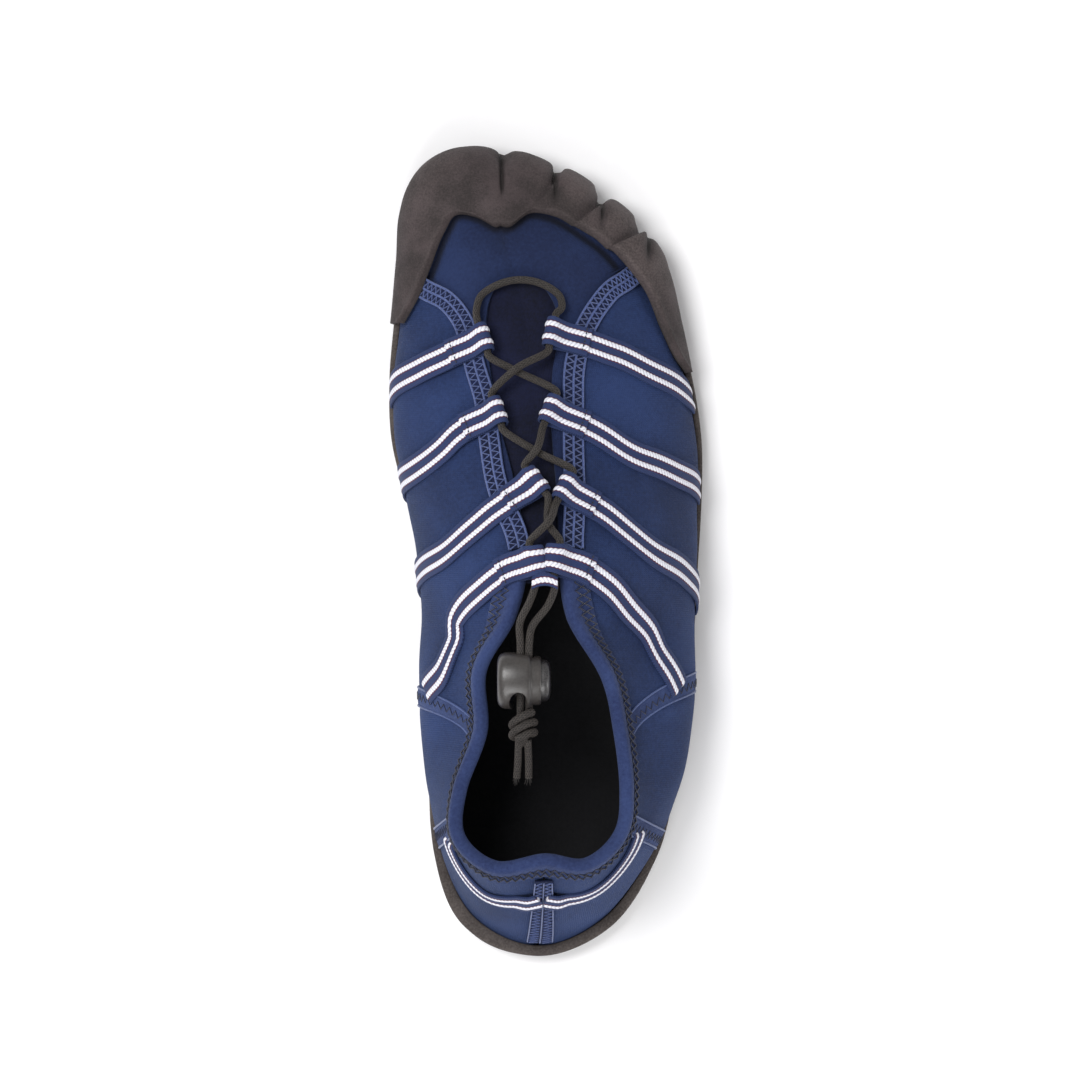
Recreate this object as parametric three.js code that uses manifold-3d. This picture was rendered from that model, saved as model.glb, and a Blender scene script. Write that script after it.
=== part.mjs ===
// A right-foot water shoe: knit upper over a rubber sole with separate toes, webbing straps, a bungee
// lace and a sprung cord lock. Units are millimetres. Toes point to +Y, the little toe to +X, up is +Z.
import * as THREE from "three";
import Module from "manifold-3d";

// ---- overall size ----
const shoe_length = 275; // heel to big toe, over the rubber
const shoe_width = 107; // across the ball of the foot, over the rubber
const collar_height = 70; // feather line to the highest point of the collar, at the heel

// ---- layers, measured outward from the inner face of the knit ----
const knit_thickness = 2; // quarters, vamp, ankle and heel panels
const gusset_thickness = 1.2; // stretch gusset under the throat
const trim_thickness = 0.6; // seam tapes and collar binding
const strap_thickness = 1; // woven webbing
const strap_width = 10;
const tape_width = 7;
const binding_drop = 7.5; // how far the binding reaches down the outside
const fit = 0.35; // gap between layers that touch on the real shoe
const cap_thickness = 3; // toe cap over the toes
const cap_gap = 0.5; // toe cap to knit
const seam_gap = 0.9; // between the cut edges of neighbouring panels

// ---- sole ----
const sole_thickness = 4.4;
const rim_thickness = 2.2; // rubber wall round the upper
const rim_rise = 0.1; // height of that wall, as a share of the way up the upper
const corner_rise = 0.006; // a strap's slanted end clears the wall by this share for each mm of width
const toe_spring = 5; // lift of the toe tip
const board_thickness = 1; // lasting board
const board_inset = 0.3; // inside the feather line
const board_lift = 0.4; // over the sole
const insole_thickness = 4;
const insole_inset = 1.8;
const insole_lift = 0.4; // over the lasting board
const groove_width = 2.2;
const groove_depth = 1.2;
const groove_pitch = 16;
const groove_count = 11;

// ---- lace and cord lock ----
const lace_diameter = 2.5;
const cord_slack = 0.45; // lace to the wall of any tunnel or hole it passes through
const lock_length = 14.6; // barrel with its lip
const lock_width = 19; // across the barrel, along the foot
const lock_height = 15;
const lip_length = 3.4;
const lip_inset = 1.3; // lip is this much smaller all round than the barrel
const lock_wall = 1.2; // closed end of the barrel
const button_width = 14;
const button_height = 10.6;
const button_reach = 3.3; // how far the button stands out of the lip
const button_travel = 2; // press, metal-to-metal
const button_gap = 0.3; // button to the bore
const spring_coil = 6; // middle diameter of the return spring
const spring_wire = 0.5;
const spring_turns = 3;
const strand_gap = 0.4; // between the two lace strands inside the lock
const knot_length = 11;
const knot_width = 11;
const knot_height = 9;
const tail_length = 11;

// ---- outline stations, toe to heel: [x, y] or [x, y, z] on a shoe of the drawn size ----
const drawn = { length: 275, width: 107, height: 70 };
const feather_height = sole_thickness + knit_thickness; // where the knit meets the sole
const feather_medial = [
  [-20, 130.5], [-35, 125.4], [-42, 113], [-44, 97], [-45.3, 78], [-46, 58], [-45.2, 38], [-39.5, 18],
  [-34, -2], [-31, -22], [-30.3, -42], [-31.2, -62], [-32.5, -82], [-32, -102], [-22.6, -124],
];
const feather_heel = [-2.5, -133];
const feather_lateral = [
  [-4, 125.5], [13, 115], [27.5, 101], [38, 81], [44, 60], [47, 38], [46.8, 18],
  [45, -2], [43, -22], [40, -42], [38, -62], [36, -82], [32.5, -102], [18.8, -124],
];
const widest_medial = [
  [-20, 131.6, 13], [-35.5, 126.2, 14], [-42.6, 113.4, 15], [-44.8, 97, 17], [-46.8, 78, 19],
  [-49.4, 58, 21], [-48.7, 38, 23], [-44.8, 18, 25], [-40.8, -2, 26], [-38.8, -22, 27],
  [-39, -42, 27], [-38.8, -62, 26], [-36.4, -82, 26], [-33, -102, 24], [-22, -122.6, 21],
];
const widest_heel = [-1.8, -131.4, 20];
const widest_lateral = [
  [-3.6, 126.3, 14], [13.5, 115.6, 15], [28.3, 101.5, 17], [39, 81, 19],
  [45.2, 60, 20], [49.4, 38, 21], [49.8, 18, 23], [49.6, -2, 25], [49, -22, 26],
  [48.2, -42, 27], [46.4, -62, 27], [42.2, -82, 26], [34.7, -102, 24], [19, -122.4, 21],
];
const ridge = [
  [-14, 106, 27], [-13.5, 103, 27.5], [-11.5, 97, 29], [-8.5, 87, 31.5], [-6, 74, 35.5],
  [-4, 57, 41.5], [-2.5, 38, 49], [-1.5, 18, 57], [-1, -2, 65],
];
const rim_medial = [
  [-10.5, -23, 69], [-20.2, -40, 65.5], [-20, -60, 60], [-27, -80, 60], [-27.5, -95, 64], [-16, -104, 70],
];
const rim_heel = [0, -101.5, 72];
const rim_lateral = [
  [8, -23, 69], [19.5, -42, 65], [23.8, -60, 60], [26, -80, 60], [24, -94, 64], [13.5, -103, 70],
];
const throat = 8 / 15; // station where the two halves of the upper part
const open_collar = 9.6 / 15; // from here back the collar stands up

const lengthwise = shoe_length / drawn.length;
const widthwise = shoe_width / drawn.width;
const upwards = collar_height / drawn.height;
const strand_spacing = lace_diameter + strand_gap; // centre to centre
const spring_start = 60 * lengthwise;
const spring_end = 137 * lengthwise;

function outline(medial, heel, lateral) {
  const around = [...medial, heel, ...lateral.slice().reverse()];
  const points = around.map(([x, y, z = 0]) => new THREE.Vector3(x * widthwise, y * lengthwise, z * upwards));
  return new THREE.CatmullRomCurve3(points, true, "catmullrom", 0.5);
}
const feather_line = outline(feather_medial, feather_heel, feather_lateral);
const widest_line = outline(widest_medial, widest_heel, widest_lateral);
const top_line = outline([...ridge, ...rim_medial], rim_heel, [...ridge.slice(1), ...rim_lateral]);

function lift_of_toe(y) {
  const along = Math.max(0, (y - spring_start) / (spring_end - spring_start));
  return toe_spring * along * along;
}
function around_at(side, v) {
  return (side < 0 ? v / 2 : 1 - v / 2) % 1;
}

// The inner face of the upper. v runs from the toe (0) to the heel (1); w runs from the medial lower edge
// (-1) over the ridge (0) to the lateral lower edge (1). h = 1 - |w| is the way up.
function skin_around(h, around) {
  const v = around <= 0.5 ? around * 2 : 2 - around * 2;
  const foot = feather_line.getPoint(around);
  foot.z = feather_height;
  const wide = widest_line.getPoint(around);
  const top = top_line.getPoint(around);
  const collar = THREE.MathUtils.smoothstep(v, throat, open_collar);
  const heel = THREE.MathUtils.smoothstep(v, 0.84, 0.94);
  const reach = THREE.MathUtils.lerp(0.56, 0.22, collar) + 0.18 * heel;
  const shoulder = top.clone().lerp(wide, reach);
  shoulder.z = top.z - THREE.MathUtils.lerp(0, 17, collar) * upwards;
  // The wall is widest a sixth of the way up and at the height of the widest line a third of the way up.
  const belly = wide.clone().multiplyScalar(216).addScaledVector(foot, -125);
  belly.addScaledVector(shoulder, -15).addScaledVector(top, -1).divideScalar(75);
  belly.z = (27 * wide.z - 8 * foot.z - 6 * shoulder.z - top.z) / 12;
  const down = 1 - h;
  const point = foot.multiplyScalar(down * down * down);
  point.addScaledVector(belly, 3 * down * down * h);
  point.addScaledVector(shoulder, 3 * down * h * h);
  point.addScaledVector(top, h * h * h);
  point.z += lift_of_toe(point.y);
  return point;
}
function skin(w, v) {
  return skin_around(1 - Math.abs(w), around_at(w, v));
}
function one_sided_normal(h, around) {
  const step = 0.004;
  const high = Math.min(h, 0.975);
  const along = skin_around(high, (around + step) % 1).sub(skin_around(high, (around - step + 1) % 1));
  const up = skin_around(high + step, around).sub(skin_around(high - step, around));
  return along.cross(up).normalize();
}
function skin_normal(w, v) {
  const h = 1 - Math.abs(w);
  const normal = one_sided_normal(h, around_at(w, v));
  const beside_ridge = 0.06;
  if (v < throat + 0.03 && Math.abs(w) < beside_ridge) {
    const other = one_sided_normal(h, around_at(-w || -1, v));
    const own_share = 0.5 + (0.5 * Math.abs(w)) / beside_ridge;
    normal.multiplyScalar(own_share).addScaledVector(other, 1 - own_share).normalize();
  }
  return normal;
}
function lifted(w, v, offset) {
  return skin(w, v).addScaledVector(skin_normal(w, v), offset);
}

// Finds [w, v] of the upper where it lies under the point x, y of the drawn shoe.
const lookout = [];
for (const side of [-1, 1]) {
  for (let v = 0; v < 1.001; v += 0.02) {
    for (let h = 0.3; h < 1.001; h += 0.05) {
      const w = side * Math.max(0.0005, 1 - h);
      lookout.push({ w, v: Math.min(v, 1), point: skin(w, Math.min(v, 1)) });
    }
  }
}
function under(x, y) {
  const goal = new THREE.Vector3(x * widthwise, y * lengthwise, 0);
  const miss = (w, v) => {
    const point = skin(w, v);
    return Math.hypot(point.x - goal.x, point.y - goal.y);
  };
  const far = ({ point }) => Math.hypot(point.x - goal.x, point.y - goal.y);
  const best = lookout.reduce((nearest, spot) => (far(spot) < far(nearest) ? spot : nearest));
  let { w, v } = best;
  for (let step = 0.02; step > 0.00005; step /= 2) {
    for (let turn = 0; turn < 6; turn += 1) {
      for (const [dw, dv] of [[step, 0], [-step, 0], [0, step], [0, -step]]) {
        const tried = Math.min(Math.max(v + dv, 0), 1);
        if (miss(w + dw, tried) < miss(w, v)) {
          w += dw;
          v = tried;
        }
      }
    }
  }
  return [w, v];
}

// ---- solids ----
// grid[i][j] is a pair [inner point, outer point]; neighbouring pairs span a closed sheet of material.
// Grids that share pairs grow together into one body.
function slab(...grids) {
  const spots = new Map();
  const positions = [];
  const index_of = ([inner, outer]) => {
    const key = [...outer.toArray(), ...inner.toArray()].map((value) => value.toFixed(3)).join();
    if (!spots.has(key)) {
      spots.set(key, spots.size);
      positions.push(...outer.toArray(), ...inner.toArray());
    }
    return spots.get(key);
  };
  const triangles = [];
  for (const grid of grids) {
    for (let i = 0; i + 1 < grid.length; i += 1) {
      for (let j = 0; j + 1 < grid[i].length; j += 1) {
        const cell = [grid[i][j], grid[i + 1][j], grid[i + 1][j + 1], grid[i][j + 1]];
        const [a, b, c, d] = cell.map(index_of);
        triangles.push([a, b, c], [a, c, d]);
      }
    }
  }
  const faces = triangles.filter(([a, b, c]) => a !== b && b !== c && c !== a);
  const edges = new Set();
  for (const [a, b, c] of faces) {
    edges.add(`${a},${b}`).add(`${b},${c}`).add(`${c},${a}`);
  }
  const indices = [];
  for (const [a, b, c] of faces) {
    indices.push(2 * a, 2 * b, 2 * c, 2 * a + 1, 2 * c + 1, 2 * b + 1);
    for (const [p, q] of [[a, b], [b, c], [c, a]]) {
      if (!edges.has(`${q},${p}`)) {
        indices.push(2 * q, 2 * p, 2 * p + 1, 2 * q, 2 * p + 1, 2 * q + 1);
      }
    }
  }
  return facing_out(positions, indices);
}
function facing_out(positions, indices) {
  let volume = 0;
  const corner = (k) => new THREE.Vector3().fromArray(positions, 3 * indices[k]);
  for (let k = 0; k < indices.length; k += 3) {
    volume += corner(k).dot(corner(k + 1).cross(corner(k + 2)));
  }
  if (volume < 0) {
    indices.reverse();
  }
  const geometry = new THREE.BufferGeometry();
  geometry.setAttribute("position", new THREE.Float32BufferAttribute(positions, 3));
  geometry.setIndex(indices);
  return geometry;
}
function tube(path, radius, sides) {
  const positions = [];
  const indices = [];
  let across = new THREE.Vector3(0, 0, 1);
  path.forEach((point, i) => {
    const ahead = path[Math.min(i + 1, path.length - 1)];
    const behind = path[Math.max(i - 1, 0)];
    const forward = ahead.clone().sub(behind).normalize();
    across = across.clone().addScaledVector(forward, -across.dot(forward)).normalize();
    const beside = forward.clone().cross(across);
    for (let k = 0; k < sides; k += 1) {
      const angle = (2 * Math.PI * k) / sides;
      const spot = point.clone().addScaledVector(across, radius * Math.cos(angle));
      positions.push(...spot.addScaledVector(beside, radius * Math.sin(angle)).toArray());
    }
  });
  for (let i = 0; i + 1 < path.length; i += 1) {
    for (let k = 0; k < sides; k += 1) {
      const [a, b] = [i * sides + k, i * sides + ((k + 1) % sides)];
      indices.push(a, b, b + sides, a, b + sides, a + sides);
    }
  }
  const last = (path.length - 1) * sides;
  for (let k = 1; k + 1 < sides; k += 1) {
    indices.push(0, k + 1, k, last, last + k, last + k + 1);
  }
  return facing_out(positions, indices);
}
function range(from, to, count) {
  return Array.from({ length: count + 1 }, (_, k) => from + ((to - from) * k) / count);
}
function table(rows, at) {
  // Straight-line interpolation in a list of [place, value].
  for (let k = 0; k + 1 < rows.length; k += 1) {
    if (at <= rows[k + 1][0]) {
      const share = Math.max(0, (at - rows[k][0]) / (rows[k + 1][0] - rows[k][0]));
      return rows[k][1] + (rows[k + 1][1] - rows[k][1]) * share;
    }
  }
  return rows[rows.length - 1][1];
}

// ---- upper panels ----
// Places in seam lists are [v, h].
const seams = {
  medial: [
    [0.213, 0], [0.216, 0.2], [0.221, 0.35], [0.229, 0.47], [0.239, 0.6], [0.261, 0.685], [0.292, 0.732],
    [0.322, 0.762], [0.358, 0.796], [0.404, 0.807], [0.449, 0.821], [0.482, 0.851], [0.505, 0.881], [0.527, 0.902],
  ],
  lateral: [
    [0.216, 0], [0.219, 0.2], [0.224, 0.32], [0.231, 0.45], [0.239, 0.58], [0.261, 0.702], [0.289, 0.781],
    [0.324, 0.832], [0.359, 0.854], [0.415, 0.873], [0.471, 0.876], [0.505, 0.88], [0.527, 0.885],
  ],
};
const throat_edge = {
  medial: [
    [0.183, 0], [0.1845, 0.035], [0.188, 0.065], [0.194, 0.095], [0.203, 0.125], [0.217, 0.155], [0.235, 0.18],
    [0.256, 0.195], [0.272, 0.2], [0.322, 0.181], [0.392, 0.15], [0.438, 0.117], [0.493, 0.089], [0.53, 0.078],
  ],
  lateral: [
    [0.183, 0], [0.1845, 0.035], [0.188, 0.065], [0.194, 0.09], [0.203, 0.11], [0.217, 0.13], [0.235, 0.145],
    [0.256, 0.15], [0.29, 0.12], [0.322, 0.085], [0.36, 0.065], [0.392, 0.055], [0.493, 0.07], [0.53, 0.078],
  ],
};
const collar_edge = [[0.527, 0.9], [0.56, 0.94], [0.6, 0.99], [0.62, 0.999], [1, 0.999]];
const panel_top = 0.988; // the panels stop this far up, just under the fold of the binding
const ankle_front = { bottom: 0.7, top: 0.745 };
const ankle_rear = { bottom: 0.852, top: 0.846 };
const sides = { medial: -1, lateral: 1 };

const vamp_stations = [
  0, 0.02, 0.04, 0.06, 0.085, 0.11, 0.135, 0.16, 0.183, 0.1845, 0.188, 0.194, 0.203, 0.213, 0.216, 0.221,
  0.225, 0.231, 0.239, 0.25, 0.261, 0.28, 0.3, 0.322, 0.345, 0.37, 0.392, 0.415, 0.438, 0.46, 0.482, 0.505, 0.525,
];
function sheet_at(w, v, low, thickness) {
  return [lifted(w, v, low), lifted(w, v, low + thickness)];
}
function make_vamp() {
  const half = (side) => vamp_stations.map((v) => {
    const heights = range(table(seams[side], v), 1 - table(throat_edge[side], v), 8);
    const row = heights.map((h) => sheet_at(sides[side] * (1 - h), v, 0, knit_thickness));
    return side === "medial" ? row : row.reverse();
  });
  return slab(half("medial"), half("lateral"));
}

// A curve through places [v, h], measured along the cloth so that its points come out evenly spaced.
const cloth_length = 290;
const cloth_rise = 75;
function cloth_curve(places) {
  const points = places.map(([v, h]) => new THREE.Vector3(v * cloth_length, h * cloth_rise, 0));
  const curve = new THREE.CatmullRomCurve3(points, false, "centripetal");
  return (share) => {
    const point = curve.getPointAt(share);
    return [point.x / cloth_length, point.y / cloth_rise];
  };
}
function straight([v0, h0], [v1, h1]) {
  return (share) => [v0 + (v1 - v0) * share, h0 + (h1 - h0) * share];
}
// A panel between four edges: low and high run toe to heel, front and rear run upward.
function panel(side, edges, columns, rows) {
  const place = (s, t) => [0, 1].map((k) => {
    const [low, high, front, rear] = [edges.low(s), edges.high(s), edges.front(t), edges.rear(t)];
    const corners = (1 - s) * (1 - t) * edges.low(0)[k] + s * (1 - t) * edges.low(1)[k]
      + (1 - s) * t * edges.high(0)[k] + s * t * edges.high(1)[k];
    return (1 - t) * low[k] + t * high[k] + (1 - s) * front[k] + s * rear[k] - corners;
  });
  const grid = range(0, 1, columns).map((s) => range(0, 1, rows).map((t) => {
    const [v, h] = place(s, t);
    return sheet_at(sides[side] * Math.max(1 - h, 0.001), Math.min(v, 1), 0, knit_thickness);
  }));
  return slab(grid);
}
function make_quarter(side) {
  const gap_along = seam_gap / cloth_length;
  const gap_up = seam_gap / cloth_rise;
  const seam = seams[side];
  const corner = 5;
  const front = seam.slice(0, corner + 1).map(([v, h]) => [v + gap_along, h * (1 - gap_up)]);
  const top = [front[corner], ...seam.slice(corner + 1).map(([v, h]) => [v, h - gap_up])];
  top.push([0.56, 0.925], [0.6, 0.975], [0.64, panel_top], [ankle_front.top, panel_top]);
  const edges = {
    low: straight(front[0], [ankle_front.bottom, 0]),
    high: cloth_curve(top),
    front: cloth_curve(front),
    rear: straight([ankle_front.bottom, 0], [ankle_front.top, panel_top]),
  };
  return panel(side, edges, 26, 8);
}
function plain_panel(side, front, rear, columns) {
  const gap = seam_gap / cloth_length;
  const edges = {
    low: straight([front.bottom + gap, 0], [rear.bottom, 0]),
    high: straight([front.top + gap, panel_top], [rear.top, panel_top]),
    front: straight([front.bottom + gap, 0], [front.top + gap, panel_top]),
    rear: straight([rear.bottom, 0], [rear.top, panel_top]),
  };
  return panel(side, edges, columns, 8);
}
function make_ankle_panel(side) {
  return plain_panel(side, ankle_front, ankle_rear, 7);
}
function make_heel_panel(side) {
  const back = 1 - (0.5 * seam_gap) / cloth_length;
  return plain_panel(side, ankle_rear, { bottom: back, top: back }, 10);
}
function make_gusset() {
  const stations = [0.172, 0.183, 0.2, 0.22, 0.25, 0.28, 0.31, 0.34, 0.37, 0.4, 0.43, 0.46, 0.49, 0.515, 0.54, 0.56];
  const overlap = 0.045;
  const grid = stations.map((v) => {
    const low = -Math.max(table(throat_edge.medial, v) + overlap, 0.07);
    const high = Math.max(table(throat_edge.lateral, v) + overlap, 0.07);
    const places = [...range(low, -0.001, 3), ...range(0.001, high, 3)];
    return places.map((w) => sheet_at(w, v, -fit - gusset_thickness, gusset_thickness));
  });
  return slab(grid);
}

// ---- collar binding: folded over the collar edge from one side of the throat round the heel ----
function make_binding() {
  const stations = [
    0.572, 0.586, 0.6, 0.612, 0.625, 0.6375, 0.65, 0.675, 0.7, 0.725, 0.75, 0.775, 0.8, 0.825, 0.85, 0.87,
    0.885, 0.9, 0.915, 0.93, 0.945, 0.96, 0.975, 0.988, 1,
  ];
  const places = stations.map((v) => [-1, v]).concat(stations.slice(0, -1).reverse().map((v) => [1, v]));
  const outside = knit_thickness + 1.5 * fit;
  const grid = places.map(([side, v]) => {
    const top = table(collar_edge, v);
    const rise = skin(side * (1 - top + 0.02), v).distanceTo(skin(side * (1 - top), v)) / 0.02;
    const below = (drop) => side * (1 - top + drop / rise);
    const edge = skin(below(0), v);
    const normal = skin_normal(below(0), v);
    const up = edge.clone().sub(skin(below(3), v));
    up.addScaledVector(normal, -up.dot(normal)).normalize();
    const over = (out, high) => edge.clone().addScaledVector(normal, out).addScaledVector(up, high);
    const turn_out = [over(outside - 0.15, fit + 0.1), over(outside + trim_thickness - 0.2, fit + trim_thickness)];
    const turn_in = [over(0.15 - fit, fit + 0.1), over(0.2 - fit - trim_thickness, fit + trim_thickness)];
    const lining = -1.5 * fit;
    const inside = (drop) => [lifted(below(drop), v, lining), lifted(below(drop), v, lining - trim_thickness)];
    return [
      sheet_at(below(binding_drop), v, outside, trim_thickness),
      sheet_at(below(binding_drop / 2), v, outside, trim_thickness),
      sheet_at(below(0.7), v, outside, trim_thickness),
      turn_out,
      turn_in,
      inside(0.7),
      inside(binding_drop * 0.6),
    ];
  });
  return slab(grid);
}

// ---- tapes, webbing and loops laid on the upper ----
// A run is a list of [w, v] places; the ribbon keeps its width on the curved surface.
function run_curve(places) {
  const points = places.map(([w, v]) => new THREE.Vector3(w * cloth_rise, v * cloth_length, 0));
  const curve = new THREE.CatmullRomCurve3(points, false, "centripetal");
  return (share) => {
    const point = curve.getPointAt(Math.min(Math.max(share, 0), 1));
    return [point.x / cloth_rise, point.y / cloth_length];
  };
}
function run_frame(curve, share) {
  const [w, v] = curve(share);
  const step = 0.004;
  const ahead = skin(...curve(share + step));
  const forward = ahead.sub(skin(...curve(share - step)));
  const normal = skin_normal(w, v);
  forward.addScaledVector(normal, -forward.dot(normal)).normalize();
  const beside = normal.clone().cross(forward);
  return { w, v, spot: skin(w, v), forward, normal, beside };
}
// The place on the upper reached by going a distance sideways from a frame.
function sideways({ w, v, spot, beside }, distance) {
  const step = 0.003;
  const by_w = skin(w + step, v).sub(spot).divideScalar(step);
  const by_v = skin(w, v + step).sub(spot).divideScalar(step);
  const goal = beside.clone().multiplyScalar(distance);
  const [ww, wv, vv] = [by_w.dot(by_w), by_w.dot(by_v), by_v.dot(by_v)];
  const [gw, gv] = [goal.dot(by_w), goal.dot(by_v)];
  const determinant = ww * vv - wv * wv;
  return [w + (gw * vv - gv * wv) / determinant, v + (gv * ww - gw * wv) / determinant];
}
function run_length(curve) {
  const spots = range(0, 1, 40).map((share) => skin(...curve(share)));
  return spots.slice(1).reduce((sum, spot, k) => sum + spot.distanceTo(spots[k]), 0);
}
function ribbon_row(curve, share, width, low, thickness) {
  const frame = run_frame(curve, share);
  return [-width / 2, 0, width / 2].map((distance) => {
    const [w, v] = sideways(frame, distance);
    return sheet_at(w, v, low, thickness);
  });
}
function make_tape(places) {
  const curve = run_curve(places);
  const rows = Math.max(3, Math.round(run_length(curve) / 6));
  return slab(range(0, 1, rows).map((share) => (
    ribbon_row(curve, share, tape_width, knit_thickness + fit, trim_thickness)
  )));
}

const strap_low = knit_thickness + trim_thickness + 2.3 * fit;
const tunnel_radius = lace_diameter / 2 + cord_slack;
const tunnel_height = strap_low + strap_thickness + tunnel_radius;
const stitch_back = 11; // loop to the end of the folded-back webbing
function strap_run(strap) {
  const above_rim = (corner_rise * strap_width) / upwards + (strap.clear_of_cap || 0);
  const start = strap.start || [sides[strap.side] * (1 - rim_rise - above_rim), strap.foot];
  return run_curve([start, ...strap.route.map(([x, y]) => under(x, y))]);
}
function tunnel_of(strap) {
  const frame = run_frame(strap_run(strap), 1);
  const centre = frame.spot.clone().addScaledVector(frame.normal, tunnel_height);
  return { ...frame, centre };
}
function make_strap(strap) {
  const curve = strap_run(strap);
  const length = run_length(curve);
  const rows = Math.round(length / 5.5);
  const grid = range(0, 1, rows).map((share) => ribbon_row(curve, share, strap_width, strap_low, strap_thickness));
  grid.pop();
  const { centre, forward, normal, beside } = tunnel_of(strap);
  for (const angle of range(-90, 90, 6)) {
    const turn = THREE.MathUtils.degToRad(angle);
    const out = forward.clone().multiplyScalar(Math.cos(turn)).addScaledVector(normal, Math.sin(turn));
    grid.push([-strap_width / 2, 0, strap_width / 2].map((distance) => [
      centre.clone().addScaledVector(beside, distance).addScaledVector(out, tunnel_radius + strap_thickness),
      centre.clone().addScaledVector(beside, distance).addScaledVector(out, tunnel_radius),
    ]));
  }
  const folded_low = strap_low + strap_thickness + fit;
  const descent = [[2.2, 1.7], [4, 0.4], [7.5, 0], [stitch_back, 0]];
  for (const [back, extra] of descent) {
    const row = ribbon_row(curve, 1 - back / length, strap_width, folded_low + extra, strap_thickness);
    grid.push(row.map(([inner, outer]) => [outer, inner]));
  }
  return slab(grid);
}
const straps = {
  webbing_medial_1: { side: "medial", foot: 0.353, route: [[-38.7, 61.3], [-26.9, 66.6], [-19.2, 69.7]] },
  webbing_medial_2: { side: "medial", foot: 0.457, route: [[-38.5, 29.1], [-25.1, 40.1], [-14.4, 44.4]] },
  webbing_medial_3: { side: "medial", foot: 0.57, route: [[-31.7, -0.7], [-15, 12.6], [-2.7, 20.8]] },
  webbing_medial_4: {
    side: "medial", start: [-0.58, 0.69],
    route: [[-32, -38], [-27, -28.6], [-18.2, -16.2], [-9.4, -7.2], [-3.3, -5.6]],
  },
  webbing_lateral_1: { side: "lateral", foot: 0.365, clear_of_cap: 0.04, route: [[32, 61.3], [15.1, 68], [2, 71.4]] },
  webbing_lateral_2: { side: "lateral", foot: 0.462, route: [[31.8, 30.1], [13.4, 40.1], [1.3, 44.8]] },
  webbing_lateral_3: { side: "lateral", foot: 0.585, route: [[35, -0.7], [17.2, 12.4], [5.4, 18.8]] },
  webbing_lateral_4: {
    side: "lateral", start: [0.56, 0.692],
    route: [[37, -37], [31.6, -27.6], [19.9, -13.9], [9.6, -6.4], [3.3, -5]],
  },
};
// The heel webbing runs level under the binding and meets at the back seam.
const heel_webbing = {
  medial: [[-0.33, 0.876], [-0.32, 0.9], [-0.3, 0.94], [-0.3, 0.9988]],
  lateral: [[0.3, 0.856], [0.32, 0.88], [0.3, 0.94], [0.3, 0.9988]],
};
function make_heel_webbing(side) {
  const curve = run_curve(heel_webbing[side]);
  const rows = Math.round(run_length(curve) / 5);
  const grid = range(0, 1, rows).map((share) => ribbon_row(curve, share, strap_width, strap_low, strap_thickness));
  return slab(grid);
}

// Seam tapes: where each runs on the upper, as [w, v].
const tapes = {
  tape_medial_front: [[-0.83, 0.708], [-0.5, 0.722], [-0.16, 0.739]],
  tape_lateral_front: [[0.83, 0.708], [0.5, 0.722], [0.16, 0.739]],
  tape_medial_rear: [[-0.83, 0.852], [-0.5, 0.85], [-0.16, 0.847]],
  tape_lateral_rear: [[0.83, 0.852], [0.5, 0.85], [0.16, 0.847]],
};
function make_vamp_tape(side) {
  const over_the_rubber = 3; // stations of the seam hidden by the toe cap and the sole
  const places = seams[side].slice(over_the_rubber, -1).map(([v, h]) => [sides[side] * (1 - h), v]);
  return make_tape(places);
}
function make_back_tape() {
  const rows = range(0.2, 0.84, 7).map((h) => [
    ...[0.987, 0.9935, 1].map((v) => sheet_at(h - 1, v, knit_thickness + fit, trim_thickness)),
    ...[0.9935, 0.987].map((v) => sheet_at(1 - h, v, knit_thickness + fit, trim_thickness)),
  ]);
  return slab(rows);
}

// ---- sole ----
const cap_end = { medial: 0.272, lateral: 0.335 };
const sole_stations = [
  0, 0.02, 0.04, 0.06, 0.08, 0.105, 0.13, 0.16, 0.19, 0.22, 0.25, 0.272, 0.2755, 0.3, 0.335, 0.3385, 0.37,
  0.41, 0.45, 0.49, 0.53, 0.57, 0.61, 0.65, 0.69, 0.73, 0.77, 0.81, 0.845, 0.87, 0.89, 0.91, 0.93, 0.95, 0.97,
  0.985, 1,
];
function outward(around) {
  const step = 0.004;
  const along = feather_line.getPoint((around + step) % 1).sub(feather_line.getPoint((around - step + 1) % 1));
  return new THREE.Vector3(along.y, -along.x, 0).normalize();
}
function edge_point(side, v, offset, height) {
  const around = around_at(side, v);
  const point = feather_line.getPoint(around).addScaledVector(outward(around), offset);
  point.z = height + lift_of_toe(point.y);
  return point;
}
function spine_point(v, height) {
  const medial = top_line.getPoint(around_at(-1, v));
  const point = medial.add(top_line.getPoint(around_at(1, v))).multiplyScalar(0.5);
  point.z = height + lift_of_toe(point.y);
  return point;
}
function towards_spine(point, v, share) {
  const moved = point.clone().lerp(spine_point(v, 0), share);
  moved.z = point.z - lift_of_toe(point.y) + lift_of_toe(moved.y);
  return moved;
}
function around_the_sole(stations, row_at) {
  const medial = stations.map((v) => row_at(-1, v));
  const lateral = stations.slice().reverse().slice(1).map((v) => row_at(1, v));
  return [...medial, ...lateral];
}
const board_low = sole_thickness + board_lift;
const insole_low = board_low + board_thickness + insole_lift;
function flat_layer(inset, low, high) {
  const stations = range(0, 1, 26).map((share) => 0.5 - 0.5 * Math.cos(Math.PI * share));
  return slab(around_the_sole(stations, (side, v) => {
    const bottom = edge_point(side, v, -inset, low);
    const top = edge_point(side, v, -inset, high);
    return [
      [bottom, top],
      [towards_spine(bottom, v, 0.5), towards_spine(top, v, 0.5)],
      [spine_point(v, low), spine_point(v, high)],
    ];
  }));
}
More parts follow.
